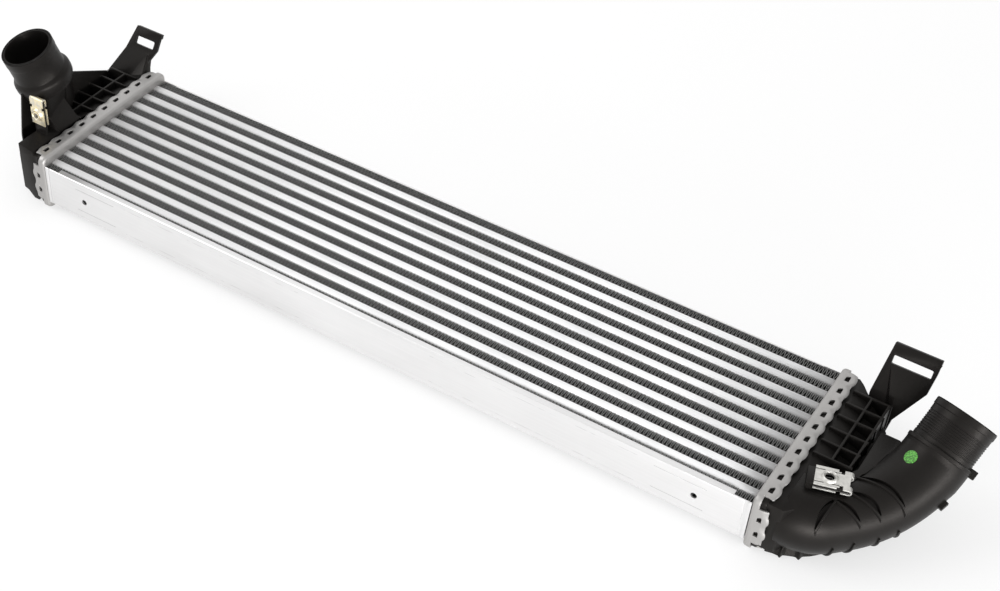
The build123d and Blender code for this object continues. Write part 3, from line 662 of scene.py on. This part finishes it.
def header_shape(lobe_rise):
    """The right header as a thin shell: floor with tube slots, rim, windows and wavy crimp."""
    bm = bmesh.new()
    column_of = bm.verts.layers.int.new("column")
    row_of = bm.verts.layers.int.new("row")
    columns = header_columns()
    points = [header_point(column, 0, lobe_rise) for column in columns]
    verts, edges = chain(bm, points, closed=True)
    for index, vert in enumerate(verts):
        vert[column_of] = index
    rim = edges
    for row in range(1, len(ROWS)):
        made = bmesh.ops.extrude_edge_only(bm, edges=edges)["geom"]
        edges = only(bmesh.types.BMEdge, made)
        for vert in only(bmesh.types.BMVert, made):
            vert[row_of] = row
            vert.co = header_point(columns[vert[column_of]], row, lobe_rise) * MM
    gone = []
    for face in bm.faces:
        row = min(vert[row_of] for vert in face.verts)
        sides = [columns[index] for index in {vert[column_of] for vert in face.verts}]
        if row >= WINDOW_ROWS[0] and any(map(near_corner, sides)):
            gone.append(face)
        elif WINDOW_ROWS[0] <= row < WINDOW_ROWS[1] and all(map(in_window, sides)):
            gone.append(face)
    slots = []
    for row in TUBE_ROWS:
        outline = [(x, row + y, z) for x, y, z in rounded_outline(*TUBE_SLOT)]
        slots += chain(bm, outline, closed=True)[1]
    bmesh.ops.triangle_fill(
        bm, edges=rim + slots, use_beauty=True, use_dissolve=False, normal=(-1, 0, 0)
    )
    outward(bm)
    bmesh.ops.delete(bm, geom=gone, context="FACES")
    bmesh.ops.translate(bm, vec=(CORE_END * MM, 0, 0), verts=bm.verts)
    return bm


def near_corner(column):
    """True where the crimp strip stops short of a corner."""
    return abs(column[0].y) > CRIMP_HALF_WIDTH and abs(column[0].z) > CRIMP_HALF_DEPTH


def in_window(column):
    """True for a column that crosses a window or stands at its edge."""
    return column[3] is not None and abs(column[2]) < column[3] + WINDOW_SLACK


# ---- tanks ----

STUB_AXIS = Vector((0.20, 0.71, 0.68)).normalized()
STUB_MOUTH = Vector((414.850, 50.493, 52.191))
STUB_BORE = 20.4
STOP_BEAD = 30.0
# The right stub's skin, as radius and height from its mouth: the bead, then the stop bead
STUB_BARREL = 22.95
STUB_BEAD = ((20.35, -3.0), (20.35, 0.0), (22.9, 0.0), (23.5, -0.6), (23.5, -4.9), (23.0, -5.5),
             (STUB_BARREL, -9.0))
STUB_ROOT = ((STUB_BARREL, -29.6), (24.6, -29.9), (25.0, -30.4), (25.0, -32.6), (24.6, -33.1),
             (24.5, -33.4), (24.45, -40.0), (24.1, -48.0), (23.2, -53.0), (21.4, -54.6))
GROOVE_START = -10.0
GROOVE_PITCH = 1.9
# How much longer than the duct its bore is at the mouth
BORE_OVERRUN = 2.0
DUCT_RADIUS = 24.45
GROOVE_FLOOR = 21.9
RIB_RADIUS = 25.9
DUCT_FRONT = Vector((CORE_END + 18.5, -52.0, 0.0))
DUCT_CORNERS = (
    DUCT_FRONT,
    Vector((CORE_END + 34.5, -52.0, 0.0)),
    Vector((CORE_END + 80.0, -4.0, 0.0)),
    STUB_MOUTH - STUB_AXIS * STOP_BEAD,
)
DUCT_TANGENTS = (12.0, 43.7)
DUCT_STEPS = (10, 28)
# Each rib of the duct: its line in plan, and the width and side of the groove beside it
DUCT_RIBS = (
    ((366.2, -48.0), (363.4, -70.0), 4.0, -1),
    ((366.0, -48.4), (387.0, -49.0), 4.0, 1),
    ((372.5, -36.4), (396.5, -37.4), 5.6, 1),
    ((368.5, -19.4), (408.5, -24.2), 4.4, 1),
)
DUCT_RIB_THICKNESS = 1.1
DUCT_RIB_HEIGHTS = (8.0, 45.0)
# How blunt a groove's end is, and how full its curve
GROOVE_BLUNT = 0.1
GROOVE_FULLNESS = 0.7
# The underside's ribs: place along the duct, and first and last angle from its top
LOWER_RIBS = ((24.1, 98.0, 190.0), (36.6, 92.0, 190.0), (53.1, 95.0, 185.0), (66.1, 95.0, 180.0))
LOWER_RIB_RADII = (23.0, 25.7)
LOWER_RIB_THICKNESS = 1.3
# Squared tabs: place along the duct, angle from its top, length and width, rise
DUCT_TABS = ((121.5, 111.0, (6.5, 9.0), 3.6), (97.0, 106.0, (7.0, 6.0), 2.6))
TAB_ROOT = 21.5
# CAD skin that smooth pieces take the place of: its radii, and its stretch or its end
DUCT_SKIN = (23.2, 26.9)
DUCT_SKIN_RUNS = range(4, 122)
STUB_SKIN = (21.5, 26.0, STOP_BEAD + 3.5)
LEFT_SKIN = (21.0, 26.0, 38.2)
SKIN_START = -0.5
# Outline of the skirt under the duct, in plan
CHIN = (
    (333.9, -73.4), (340.0, -72.0), (343.6, -71.8), (345.7, -73.6), (346.6, -69.6), (350.5, -67.6),
    (354.4, -66.0), (357.5, -67.6), (358.4, -63.0), (362.6, -59.6), (365.9, -56.1), (371.5, -48.7),
    (375.0, -41.7), (380.0, -37.0), (382.6, -33.9), (384.4, -28.5), (376.0, -26.0), (338.0, -40.0),
    (333.9, -44.0),
)
CHIN_HEIGHTS = (-25.6, -12.0)
CHIN_MIDDLE = Vector((348.0, -44.0, 0.0))
CHIN_TAPER = (0.9, 0.78, 1.0)

# The left stub, as it is built for the right end before it is mirrored
LEFT_MOUTH = Vector((CORE_END + 46.4, -35.1, 94.6))
LEFT_AXIS = Vector((0.184, -0.267, 0.946)).normalized()
# The left stub's skin, as radius and height from its mouth: lip, neck and bulge
LEFT_STUB = ((19.85, 0.0), (21.9, 0.0), (22.5, -0.6), (22.5, -7.0), (22.3, -8.0), (22.1, -9.0),
             (22.1, -24.0), (22.6, -25.0), (24.2, -26.6), (25.0, -28.2), (25.2, -30.0),
             (25.2, -33.0), (24.9, -35.5), (24.2, -37.2), (23.7, -38.5))
# The web behind the left tank: its outline, and its thickness along X
WEB = ((-364.6, 51.5, 24.6), (-373.2, 64.2, 16.4), (-366.2, 59.0, 6.4), (-364.6, 51.5, 3.0))
WEB_THICKNESS = 2.0

MARK_PLACE = Vector((CORE_END + 75.2, 4.0, 40.0))
MARK_LEAN = Vector((-0.2, -0.6, 0.75)).normalized()
MARK_SPOT = ((0.0, 0.0), (1.6, 0.0), (3.2, 0.0), (4.3, 0.0), (4.75, -0.1), (4.8, -0.4))
MARK_RISE = 0.35
MARK_DROP_FROM = 20.0

# Each clip nut's width, place and turn; in its own frame X is its length and Z its collar
CLIPS = {
    "clip_nut_right": (18.0, Vector((CORE_END + 26.5, -39.9, 29.0)),
                       Matrix.Rotation(math.radians(16.9), 4, "Z")),
    "clip_nut_left": (14.0, Vector((-CORE_END - 27.0, -49.5, 35.0)),
                      Matrix(((0, 1, 0), (0, 0, -1), (1, 0, 0))).to_4x4()),
}
CLIP_HOLE = 3.3
CLIP_HOLE_X = 10.0
CLIP_HOLE_DEPTH = 6.0
# Cuts at each side: start, end, and how far in from the edge they lie
CLIP_CUTS = ((-1.0, 6.5, 3.4, 2.6), (11.0, 18.5, 3.7, 2.9), (17.2, 19.6, 3.7, -1.0))
CLIP_NOTCH = (23.9, 28.0)
COLLAR = ((CLIP_HOLE, 1.4), (CLIP_HOLE, 2.6), (3.6, 3.1), (4.2, 4.1), (4.45, 4.3), (4.7, 4.2),
          (5.3, 3.3), (6.0, 2.35))


def duct_runs():
    """Runs of the duct's centre line: start, end, and an arc's centre, axis, angle and steps."""
    here = DUCT_CORNERS[0]
    for before, corner, after, tangent, steps in zip(
        DUCT_CORNERS, DUCT_CORNERS[1:], DUCT_CORNERS[2:], DUCT_TANGENTS, DUCT_STEPS
    ):
        first = (corner - before).normalized()
        second = (after - corner).normalized()
        start = corner - first * tangent
        yield here, start, None, None, 0.0, 1
        axis = first.cross(second).normalized()
        angle = first.angle(second)
        centre = start + axis.cross(first) * (tangent / math.tan(angle / 2))
        here = corner + second * tangent
        yield start, here, centre, axis, angle, steps
    yield here, DUCT_CORNERS[-1], None, None, 0.0, 1


def duct_place(run):
    """The duct's centre and direction at this length along its centre line."""
    for start, end, centre, axis, angle, _ in duct_runs():
        reach = (end - start).length if centre is None else (start - centre).length * angle
        if run <= reach:
            break
        run -= reach
    if centre is None:
        direction = (end - start).normalized()
        return start + direction * run, direction
    turn = Matrix.Rotation(angle * run / reach, 3, axis)
    arm = turn @ (start - centre)
    return centre + arm, axis.cross(arm).normalized()


def duct_pipe(radius, sides=72):
    """A smooth closed pipe of this radius along the duct, swept with extrude and spin."""
    bm = bmesh.new()
    bmesh.ops.create_circle(bm, cap_ends=False, segments=sides, radius=radius * MM)
    put(bm, DUCT_FRONT, (1, 0, 0))
    first = list(bm.edges)
    edges = first
    for start, end, centre, axis, angle, steps in duct_runs():
        if centre is None:
            edges = pushed(bm, edges, end - start)
            continue
        loop = edges + list({vert for edge in edges for vert in edge.verts})
        made = bmesh.ops.spin(bm, geom=loop, cent=centre * MM, axis=axis, angle=angle, steps=steps)
        edges = only(bmesh.types.BMEdge, made["geom_last"])
    for loop in (first, edges):
        bmesh.ops.contextual_create(bm, geom=loop)
    return closed_up(bm)


def standing(outline, low, high):
    """A flat outline in plan, filled and pushed up from one height to another."""
    return slab([(x, y, low) for x, y in outline], (0, 0, high - low))


def rib_frame(rib):
    """A rib's start, its direction and the direction of its groove, in plan."""
    start, end, _, side = rib
    along = Vector(end) - Vector(start)
    return Vector(start), along, Vector((-along.y, along.x)).normalized() * side


def groove_outline(rib, points=14):
    """The lens-shaped outline of the groove beside a rib."""
    start, along, across = rib_frame(rib)
    outline = [start + along, start]
    for index in range(points):
        place = index / points
        turn = math.pi * (GROOVE_BLUNT + (1.0 - GROOVE_BLUNT) * place)
        width = DUCT_RIB_THICKNESS / 2 + rib[2] * math.sin(turn) ** GROOVE_FULLNESS
        outline.append(start + along * place + across * width)
    return outline


def cut(bm, *tools, operation="DIFFERENCE"):
    """The solid after every tool is cut out of it, or after another boolean operation."""
    parts = [meshed("step", solid_mesh) for solid_mesh in (bm, *tools)]
    for tool in parts[1:]:
        modifier = parts[0].modifiers.new("step", "BOOLEAN")
        modifier.operation = operation
        modifier.solver = "EXACT"
        modifier.object = tool
    result = bmesh.new()
    result.from_object(parts[0], bpy.context.evaluated_depsgraph_get())
    for part in parts:
        mesh = part.data
        bpy.data.objects.remove(part)
        bpy.data.meshes.remove(mesh)
    return result


def duct_shape():
    """The right tank's duct and elbow up to the stop bead, with a groove beside each rib."""
    grooves = [
        cut(standing(groove_outline(rib), *DUCT_RIB_HEIGHTS), duct_pipe(GROOVE_FLOOR))
        for rib in DUCT_RIBS
    ]
    bore = duct_pipe(STUB_BORE)
    rim = [
        vert for vert in bore.verts
        if (vert.co / MM - DUCT_CORNERS[-1]).length < STUB_BORE + BORE_OVERRUN
    ]
    bmesh.ops.translate(bore, vec=STUB_AXIS * BORE_OVERRUN * MM, verts=rim)
    return cut(duct_pipe(DUCT_RADIUS), *grooves, bore)


def duct_rib_shape(rib):
    """One thin rib, its top following the duct."""
    start, along, across = rib_frame(rib)
    half = across * (DUCT_RIB_THICKNESS / 2)
    outline = [start - half, start + along - half, start + along + half, start + half]
    wall = standing(outline, *DUCT_RIB_HEIGHTS)
    return cut(wall, duct_pipe(RIB_RADIUS), operation="INTERSECT")


def duct_spoke(run, angle):
    """The duct's centre and direction, and the direction outwards at this angle from its top."""
    centre, direction = duct_place(run)
    up = (UP - direction * direction.z).normalized()
    return centre, direction, Matrix.Rotation(math.radians(angle), 3, direction) @ up


def lower_rib_shape(run, low, high):
    """A short rib that follows the underside of the duct from one angle to another."""
    centre, direction, radial = duct_spoke(run, low)
    half = direction * (LOWER_RIB_THICKNESS / 2)
    inner, outer = (centre + radial * radius for radius in LOWER_RIB_RADII)
    bm = bmesh.new()
    outline = [inner - half, outer - half, outer + half, inner + half]
    verts, edges = chain(bm, outline, closed=True)
    face = bmesh.ops.contextual_create(bm, geom=edges)["faces"]
    bmesh.ops.spin(
        bm, geom=face + edges + verts, cent=centre * MM, axis=direction,
        angle=math.radians(high - low), steps=16,
    )
    return closed_up(bm)


def on_stub(vert, mouth, axis, inner, outer, end):
    """True on a stub's skin: between two radii, and at most this far from its mouth."""
    point = vert.co / MM
    back = (mouth - point).dot(axis)
    return SKIN_START < back < end and inner < (point - mouth + axis * back).length < outer


def without_skin(bm, on_skin):
    """Take off the faces whose corners are all on a skin."""
    gone = [face for face in bm.faces if all(on_skin(vert) for vert in face.verts)]
    bmesh.ops.delete(bm, geom=gone, context="FACES")
    return bm


def without_duct(bm):
    """Take the flat-sided duct and stub skin off a copy of the right tank."""
    places = [duct_place(run) for run in DUCT_SKIN_RUNS]

    def on_duct(vert):
        """True on the stub's skin or the duct's."""
        if on_stub(vert, STUB_MOUTH, STUB_AXIS, *STUB_SKIN):
            return True
        point = vert.co / MM
        centre, direction = min(places, key=lambda place: (place[0] - point).length_squared)
        offset = point - centre
        distance = (offset - direction * offset.dot(direction)).length
        return DUCT_SKIN[0] < distance < DUCT_SKIN[1]

    return without_skin(bm, on_duct)


def without_neck(bm):
    """Take the flat-sided skin off the top of a copy of the left stub."""
    mirror = Vector((-1.0, 1.0, 1.0))
    mouth, axis = LEFT_MOUTH * mirror, LEFT_AXIS * mirror
    return without_skin(bm, lambda vert: on_stub(vert, mouth, axis, *LEFT_SKIN))


def chin_shape():
    """The skirt under the front of the duct, with two small points, narrower at its top."""
    bm = standing(CHIN, *CHIN_HEIGHTS)
    top = [vert for vert in bm.verts if vert.co.z > sum(CHIN_HEIGHTS) / 2 * MM]
    space = Matrix.Translation(-CHIN_MIDDLE * MM)
    bmesh.ops.scale(bm, vec=CHIN_TAPER, space=space, verts=top)
    return bm


def block(low, high):
    """A box between two corners in millimetres."""
    bm = bmesh.new()
    bmesh.ops.create_cube(bm, size=1.0)
    size = [(b - a) * MM for a, b in zip(low, high)]
    middle = [(a + b) / 2 * MM for a, b in zip(low, high)]
    bmesh.ops.scale(bm, vec=size, verts=bm.verts)
    bmesh.ops.translate(bm, vec=middle, verts=bm.verts)
    return bm


def duct_tab_shape(run, angle, size, rise):
    """A squared tab that stands on the duct's skin at this run and angle from its top."""
    centre, direction, side = duct_spoke(run, angle)
    half_length, half_width = size[0] / 2, size[1] / 2
    bm = block((TAB_ROOT, -half_width, -half_length),
               (DUCT_RADIUS + rise, half_width, half_length))
    axes = Matrix((side, direction.cross(side), direction)).transposed().to_4x4()
    bmesh.ops.transform(bm, matrix=Matrix.Translation(centre * MM) @ axes, verts=bm.verts)
    return bm


def in_clip_frame(node, bm):
    """Bring a shape from a clip nut's own frame to where the nut is."""
    _, place, turn = CLIPS[node]
    bmesh.ops.transform(bm, matrix=Matrix.Translation(place * MM) @ turn, verts=bm.verts)
    return bm


def clip_shape(node):
    """A clip nut with slits either side of its tongue, cut corners and a wide-mouthed hole."""
    half = CLIPS[node][0] / 2
    tools = []
    for side in (-1, 1):
        for start, end, *insets in CLIP_CUTS:
            low, high = sorted(side * (half - inset) for inset in insets)
            tools.append(block((start, low, 0.5), (end, high, 8.0)))
    tools.append(block((CLIP_NOTCH[0], -half / 2, -5.0), (CLIP_NOTCH[1], half / 2, 5.0)))
    for radius, start in ((CLIP_HOLE, 0.5), (CLIP_HOLE + 1.0, 2.9)):
        bm = bmesh.new()
        bmesh.ops.create_cone(
            bm, cap_ends=True, segments=40, radius1=radius * MM, radius2=radius * MM,
            depth=CLIP_HOLE_DEPTH * MM,
        )
        tools.append(put(bm, (CLIP_HOLE_X, 0.0, start + CLIP_HOLE_DEPTH / 2), UP))
    return cut(merged(node), *(in_clip_frame(node, bm) for bm in tools))


def collar_shape(node):
    """The flared collar round a clip nut's hole."""
    return in_clip_frame(node, put(turned(COLLAR, 48), (CLIP_HOLE_X, 0.0, 0.0), UP))


def right_stub_shape(groove_depth, grooves):
    """The right stub's skin: rounded mouth bead, grooved barrel, stop bead and root."""
    floor = STUB_BARREL - groove_depth
    profile = list(STUB_BEAD)
    for groove in range(grooves):
        start = GROOVE_START - groove * GROOVE_PITCH
        profile += [(STUB_BARREL, start), (floor, start - 0.4),
                    (floor, start - 0.9), (STUB_BARREL, start - 1.3)]
    profile += STUB_ROOT
    return put(turned(profile), STUB_MOUTH, STUB_AXIS)


# ---- operators ----


class INTERCOOLER_OT_tubes(bpy.types.Operator):
    """Make the ten flat tubes, and finish the strips inside them"""

    bl_idname = "intercooler.tubes"
    bl_label = "Tubes"

    def execute(self, context):
        sizes = context.scene.intercooler_sizes
        material = tube_finish(context.scene.intercooler_colours.tube)
        for node in TUBES:
            piece = add_piece(f"{node}_bar", tube_shape(node), material, [node])
            thickened(piece, sizes.tube_wall, -1.0)
        paint_nodes(TURBULATORS, material)
        return {"FINISHED"}


class INTERCOOLER_OT_air_fins(bpy.types.Operator):
    """Make the folded air fins at their real pitch"""

    bl_idname = "intercooler.air_fins"
    bl_label = "Air fins"

    def execute(self, context):
        sizes = context.scene.intercooler_sizes
        material = fin_finish(context.scene.intercooler_colours.fin)
        for node in AIR_FINS:
            bm = fin_shape(node, sizes.fin_pitch, sizes.fin_sheet)
            piece = add_piece(f"{node}_folds", bm, material, [node], 50.0)
            thickened(piece, sizes.fin_sheet, 0.0)
        return {"FINISHED"}


class INTERCOOLER_OT_side_plates(bpy.types.Operator):
    """Round the edges of both side plates and finish them"""

    bl_idname = "intercooler.side_plates"
    bl_label = "Side plates"

    def execute(self, context):
        material = plate_finish(context.scene.intercooler_colours.side_plate)
        for node in ("side_plate_front", "side_plate_back"):
            sheet = softened(merged(node), 0.22 * MM)
            add_piece(f"{node}_sheet", sheet, material, [node])
        return {"FINISHED"}


class INTERCOOLER_OT_headers(bpy.types.Operator):
    """Make both headers with their windows and wavy crimp, and finish the gaskets"""

    bl_idname = "intercooler.headers"
    bl_label = "Headers"

    def execute(self, context):
        sizes = context.scene.intercooler_sizes
        material = header_finish(context.scene.intercooler_colours.header)
        for node in ("header_right", "header_left"):
            bm = header_shape(sizes.lobe_rise / MM)
            if node == "header_left":
                flipped_to_left(bm)
            piece = add_piece(f"{node}_pan", bm, material, [node], 50.0)
            thickened(piece, sizes.header_sheet, -1.0)
            rounded_edges(piece, 0.3 * MM)
        paint_nodes(("gasket_left", "gasket_right"), rubber_finish())
        return {"FINISHED"}


class INTERCOOLER_OT_tank_right(bpy.types.Operator):
    """Make the right tank with its elbow and grooved stub"""

    bl_idname = "intercooler.tank_right"
    bl_label = "Right tank"

    def execute(self, context):
        sizes = context.scene.intercooler_sizes
        material = plastic_finish(context.scene.intercooler_colours.plastic)
        body = softened(without_duct(merged("tank_right")), sizes.plastic_edge)
        add_piece("tank_right_body", body, material, ["tank_right"])
        add_moulding("tank_right_duct", duct_shape(), material, 0.35)
        for number, rib in enumerate(DUCT_RIBS, 1):
            add_moulding(f"tank_right_rib_{number}", duct_rib_shape(rib), material, 0.25)
        for number, rib in enumerate(LOWER_RIBS, 1):
            name = f"tank_right_lower_rib_{number}"
            add_moulding(name, lower_rib_shape(*rib), material, 0.3)
        stub = right_stub_shape(sizes.groove_depth / MM, sizes.groove_count)
        add_piece("tank_right_stub", stub, material)
        add_moulding("tank_right_chin", chin_shape(), material, 1.0, 3)
        for number, tab in enumerate(DUCT_TABS, 1):
            add_moulding(f"tank_right_tab_{number}", duct_tab_shape(*tab), material, 0.5)
        return {"FINISHED"}


class INTERCOOLER_OT_tank_left(bpy.types.Operator):
    """Make the left tank with its upright stub"""

    bl_idname = "intercooler.tank_left"
    bl_label = "Left tank"

    def execute(self, context):
        sizes = context.scene.intercooler_sizes
        material = plastic_finish(context.scene.intercooler_colours.plastic)
        body = softened(without_neck(merged("tank_left")), sizes.plastic_edge)
        add_piece("tank_left_body", body, material, ["tank_left"])
        add_moulding("tank_left_web", slab(WEB, (WEB_THICKNESS, 0, 0)), material, 0.4)
        stub = flipped_to_left(put(turned(LEFT_STUB), LEFT_MOUTH, LEFT_AXIS))
        add_piece("tank_left_stub", stub, material)
        return {"FINISHED"}


class INTERCOOLER_OT_clip_nuts(bpy.types.Operator):
    """Round the edges of both clip nuts and finish them"""

    bl_idname = "intercooler.clip_nuts"
    bl_label = "Clip nuts"

    def execute(self, context):
        colours = context.scene.intercooler_colours
        silver = zinc_finish("clear zinc", colours.silver_zinc, shade(colours.silver_zinc, 0.8))
        yellow = zinc_finish("yellow zinc", colours.yellow_zinc, (0.62, 0.6, 0.56))
        for node, material in (("clip_nut_right", silver), ("clip_nut_left", yellow)):
            spring = softened(clip_shape(node), 0.14 * MM, shortest=0.6)
            add_piece(f"{node}_spring", spring, material, [node])
            add_piece(f"{node}_collar", collar_shape(node), material)
        return {"FINISHED"}


class INTERCOOLER_OT_mark(bpy.types.Operator):
    """Lay the round green mark on the right tank's elbow"""

    bl_idname = "intercooler.mark"
    bl_label = "Inspection mark"

    def execute(self, context):
        material = mark_finish(context.scene.intercooler_colours.mark)
        skin = duct_pipe(DUCT_RADIUS)
        tree = BVHTree.FromBMesh(skin)
        skin.free()
        bm = put(turned(MARK_SPOT, 40), MARK_PLACE, MARK_LEAN)
        for vert in bm.verts:
            height = (vert.co - MARK_PLACE * MM).dot(MARK_LEAN)
            start = vert.co + MARK_LEAN * (MARK_DROP_FROM * MM - height)
            hit = tree.ray_cast(start, -MARK_LEAN)[0]
            if hit is None:
                raise RuntimeError("the mark doesn't lie on the duct")
            vert.co = hit + MARK_LEAN * (height + MARK_RISE * MM)
        bmesh.ops.recalc_face_normals(bm, faces=bm.faces)
        if sum(face.normal.dot(MARK_LEAN) for face in bm.faces) < 0:
            bmesh.ops.reverse_faces(bm, faces=bm.faces)
        add_piece("inspection_mark_ink", bm, material, ["inspection_mark"])
        return {"FINISHED"}


class INTERCOOLER_OT_stage(bpy.types.Operator):
    """Set up the pale floor, the soft lights, the world and the camera"""

    bl_idname = "intercooler.stage"
    bl_label = "Stage"

    def execute(self, context):
        scene = context.scene
        scene.view_settings.view_transform = "Standard"
        add_floor()
        add_world(scene)
        for lamp in LAMPS:
            add_light(*lamp)
        add_camera(scene)
        return {"FINISHED"}


# ---- stage ----

FLOOR_DROP = 0.0002
FLOOR_HALF_WIDTH = 30.0
FLOOR_COLOUR = (0.96, 0.96, 0.96, 1.0)
# Share of plain white that the floor shows to the camera
FLOOR_WHITE = 0.65
WORLD_STRENGTH = 0.64
# Lamps: name, place, size, and power in watts
LAMPS = (
    ("key", (-1.6, -0.9, 1.6), (1.4, 1.4), 23.0),
    ("front", (1.1, -1.35, 0.16), (1.0, 0.34), 24.0),
    ("side", (2.0, -0.45, 0.14), (1.0, 0.3), 15.0),
    ("back", (-0.9, 1.4, 1.5), (3.2, 2.2), 14.0),
)
CAMERA_PLACE = (0.520110, -0.842708, 0.866746)
CAMERA_ANGLES = (46.8444, -1.2196, 34.0198)
CAMERA_LENS = 60.261
CAMERA_SHIFT = (0.10931, 0.04189)


def add_floor():
    """A wide pale floor just under the object, which shows near white and keeps its shadow."""
    bm = bmesh.new()
    bmesh.ops.create_grid(bm, x_segments=1, y_segments=1, size=FLOOR_HALF_WIDTH)
    bmesh.ops.translate(bm, vec=(0, 0, CAD_BOX[0][2] - FLOOR_DROP), verts=bm.verts)
    floor = meshed("floor", bm)
    finish = Finish("pale floor", Roughness=0.9)
    finish.set("Base Color", FLOOR_COLOUR)
    rays = [finish.node("ShaderNodeLightPath", output=f"Is {kind} Ray")
            for kind in ("Camera", "Glossy", "Transmission")]
    white = finish.node("ShaderNodeEmission", inputs={"Color": (1, 1, 1, 1), "Strength": 1.0})
    shown = (rays[0] + rays[1] + rays[2]) * FLOOR_WHITE
    lit = Value(finish, finish.shader.outputs[0])
    mixed = finish.node("ShaderNodeMixShader", inputs={"Fac": shown, 1: lit, 2: white})
    output = next(node for node in finish.tree.nodes if node.type == "OUTPUT_MATERIAL")
    finish.feed(output.inputs["Surface"], mixed)
    floor.data.materials.append(finish.material)


def add_world(scene):
    """A plain, even, pale grey world."""
    world = bpy.data.worlds.new("studio")
    scene.world = world
    world.use_nodes = True
    background = next(node for node in world.node_tree.nodes if node.type == "BACKGROUND")
    background.inputs["Color"].default_value = (1.0, 1.0, 1.0, 1.0)
    background.inputs["Strength"].default_value = WORLD_STRENGTH


def add_light(name, place, size, power):
    """A soft rectangular light that faces the object."""
    lamp = bpy.data.lights.new(name, "AREA")
    lamp.shape = "RECTANGLE"
    lamp.size, lamp.size_y = size
    lamp.energy = power
    light = linked(name, lamp)
    light.location = place
    light.rotation_euler = (-Vector(place)).to_track_quat("-Z", "Y").to_euler()


def add_camera(scene):
    """The camera, above the front right corner."""
    lens = bpy.data.cameras.new("camera")
    lens.lens = CAMERA_LENS
    lens.sensor_width = 36.0
    lens.shift_x, lens.shift_y = CAMERA_SHIFT
    camera = linked("camera", lens)
    camera.location = CAMERA_PLACE
    camera.rotation_euler = [math.radians(angle) for angle in CAMERA_ANGLES]
    scene.camera = camera


OPERATORS = (
    INTERCOOLER_OT_stage,
    INTERCOOLER_OT_tubes,
    INTERCOOLER_OT_air_fins,
    INTERCOOLER_OT_side_plates,
    INTERCOOLER_OT_headers,
    INTERCOOLER_OT_tank_right,
    INTERCOOLER_OT_tank_left,
    INTERCOOLER_OT_clip_nuts,
    INTERCOOLER_OT_mark,
)


class INTERCOOLER_PT_pieces(bpy.types.Panel):
    """Lists the steps that build the intercooler"""

    bl_idname = "INTERCOOLER_PT_pieces"
    bl_label = "Intercooler"
    bl_space_type = "VIEW_3D"
    bl_region_type = "UI"
    bl_category = "Intercooler"

    def draw(self, context):
        """Show every size and colour, and a button for each step."""
        for group in (context.scene.intercooler_sizes, context.scene.intercooler_colours):
            box = self.layout.box()
            for name in group.bl_rna.properties.keys():
                if name not in ("rna_type", "name"):
                    box.prop(group, name)
        for operator in OPERATORS:
            self.layout.operator(operator.bl_idname)


CLASSES = (IntercoolerSizes, IntercoolerColours, *OPERATORS, INTERCOOLER_PT_pieces)


def register():
    """Add the classes and the scene's properties."""
    for item in CLASSES:
        bpy.utils.register_class(item)
    bpy.types.Scene.intercooler_sizes = PointerProperty(type=IntercoolerSizes)
    bpy.types.Scene.intercooler_colours = PointerProperty(type=IntercoolerColours)


def unregister():
    """Take the scene's properties and the classes away again."""
    del bpy.types.Scene.intercooler_colours
    del bpy.types.Scene.intercooler_sizes
    for item in reversed(CLASSES):
        bpy.utils.unregister_class(item)


def main():
    """Build every piece in order."""
    register()
    bpy.ops.intercooler.stage()
    bpy.ops.intercooler.tubes()
    bpy.ops.intercooler.air_fins()
    bpy.ops.intercooler.side_plates()
    bpy.ops.intercooler.headers()
    bpy.ops.intercooler.tank_right()
    bpy.ops.intercooler.tank_left()
    bpy.ops.intercooler.clip_nuts()
    bpy.ops.intercooler.mark()


if __name__ == "__main__":
    main()
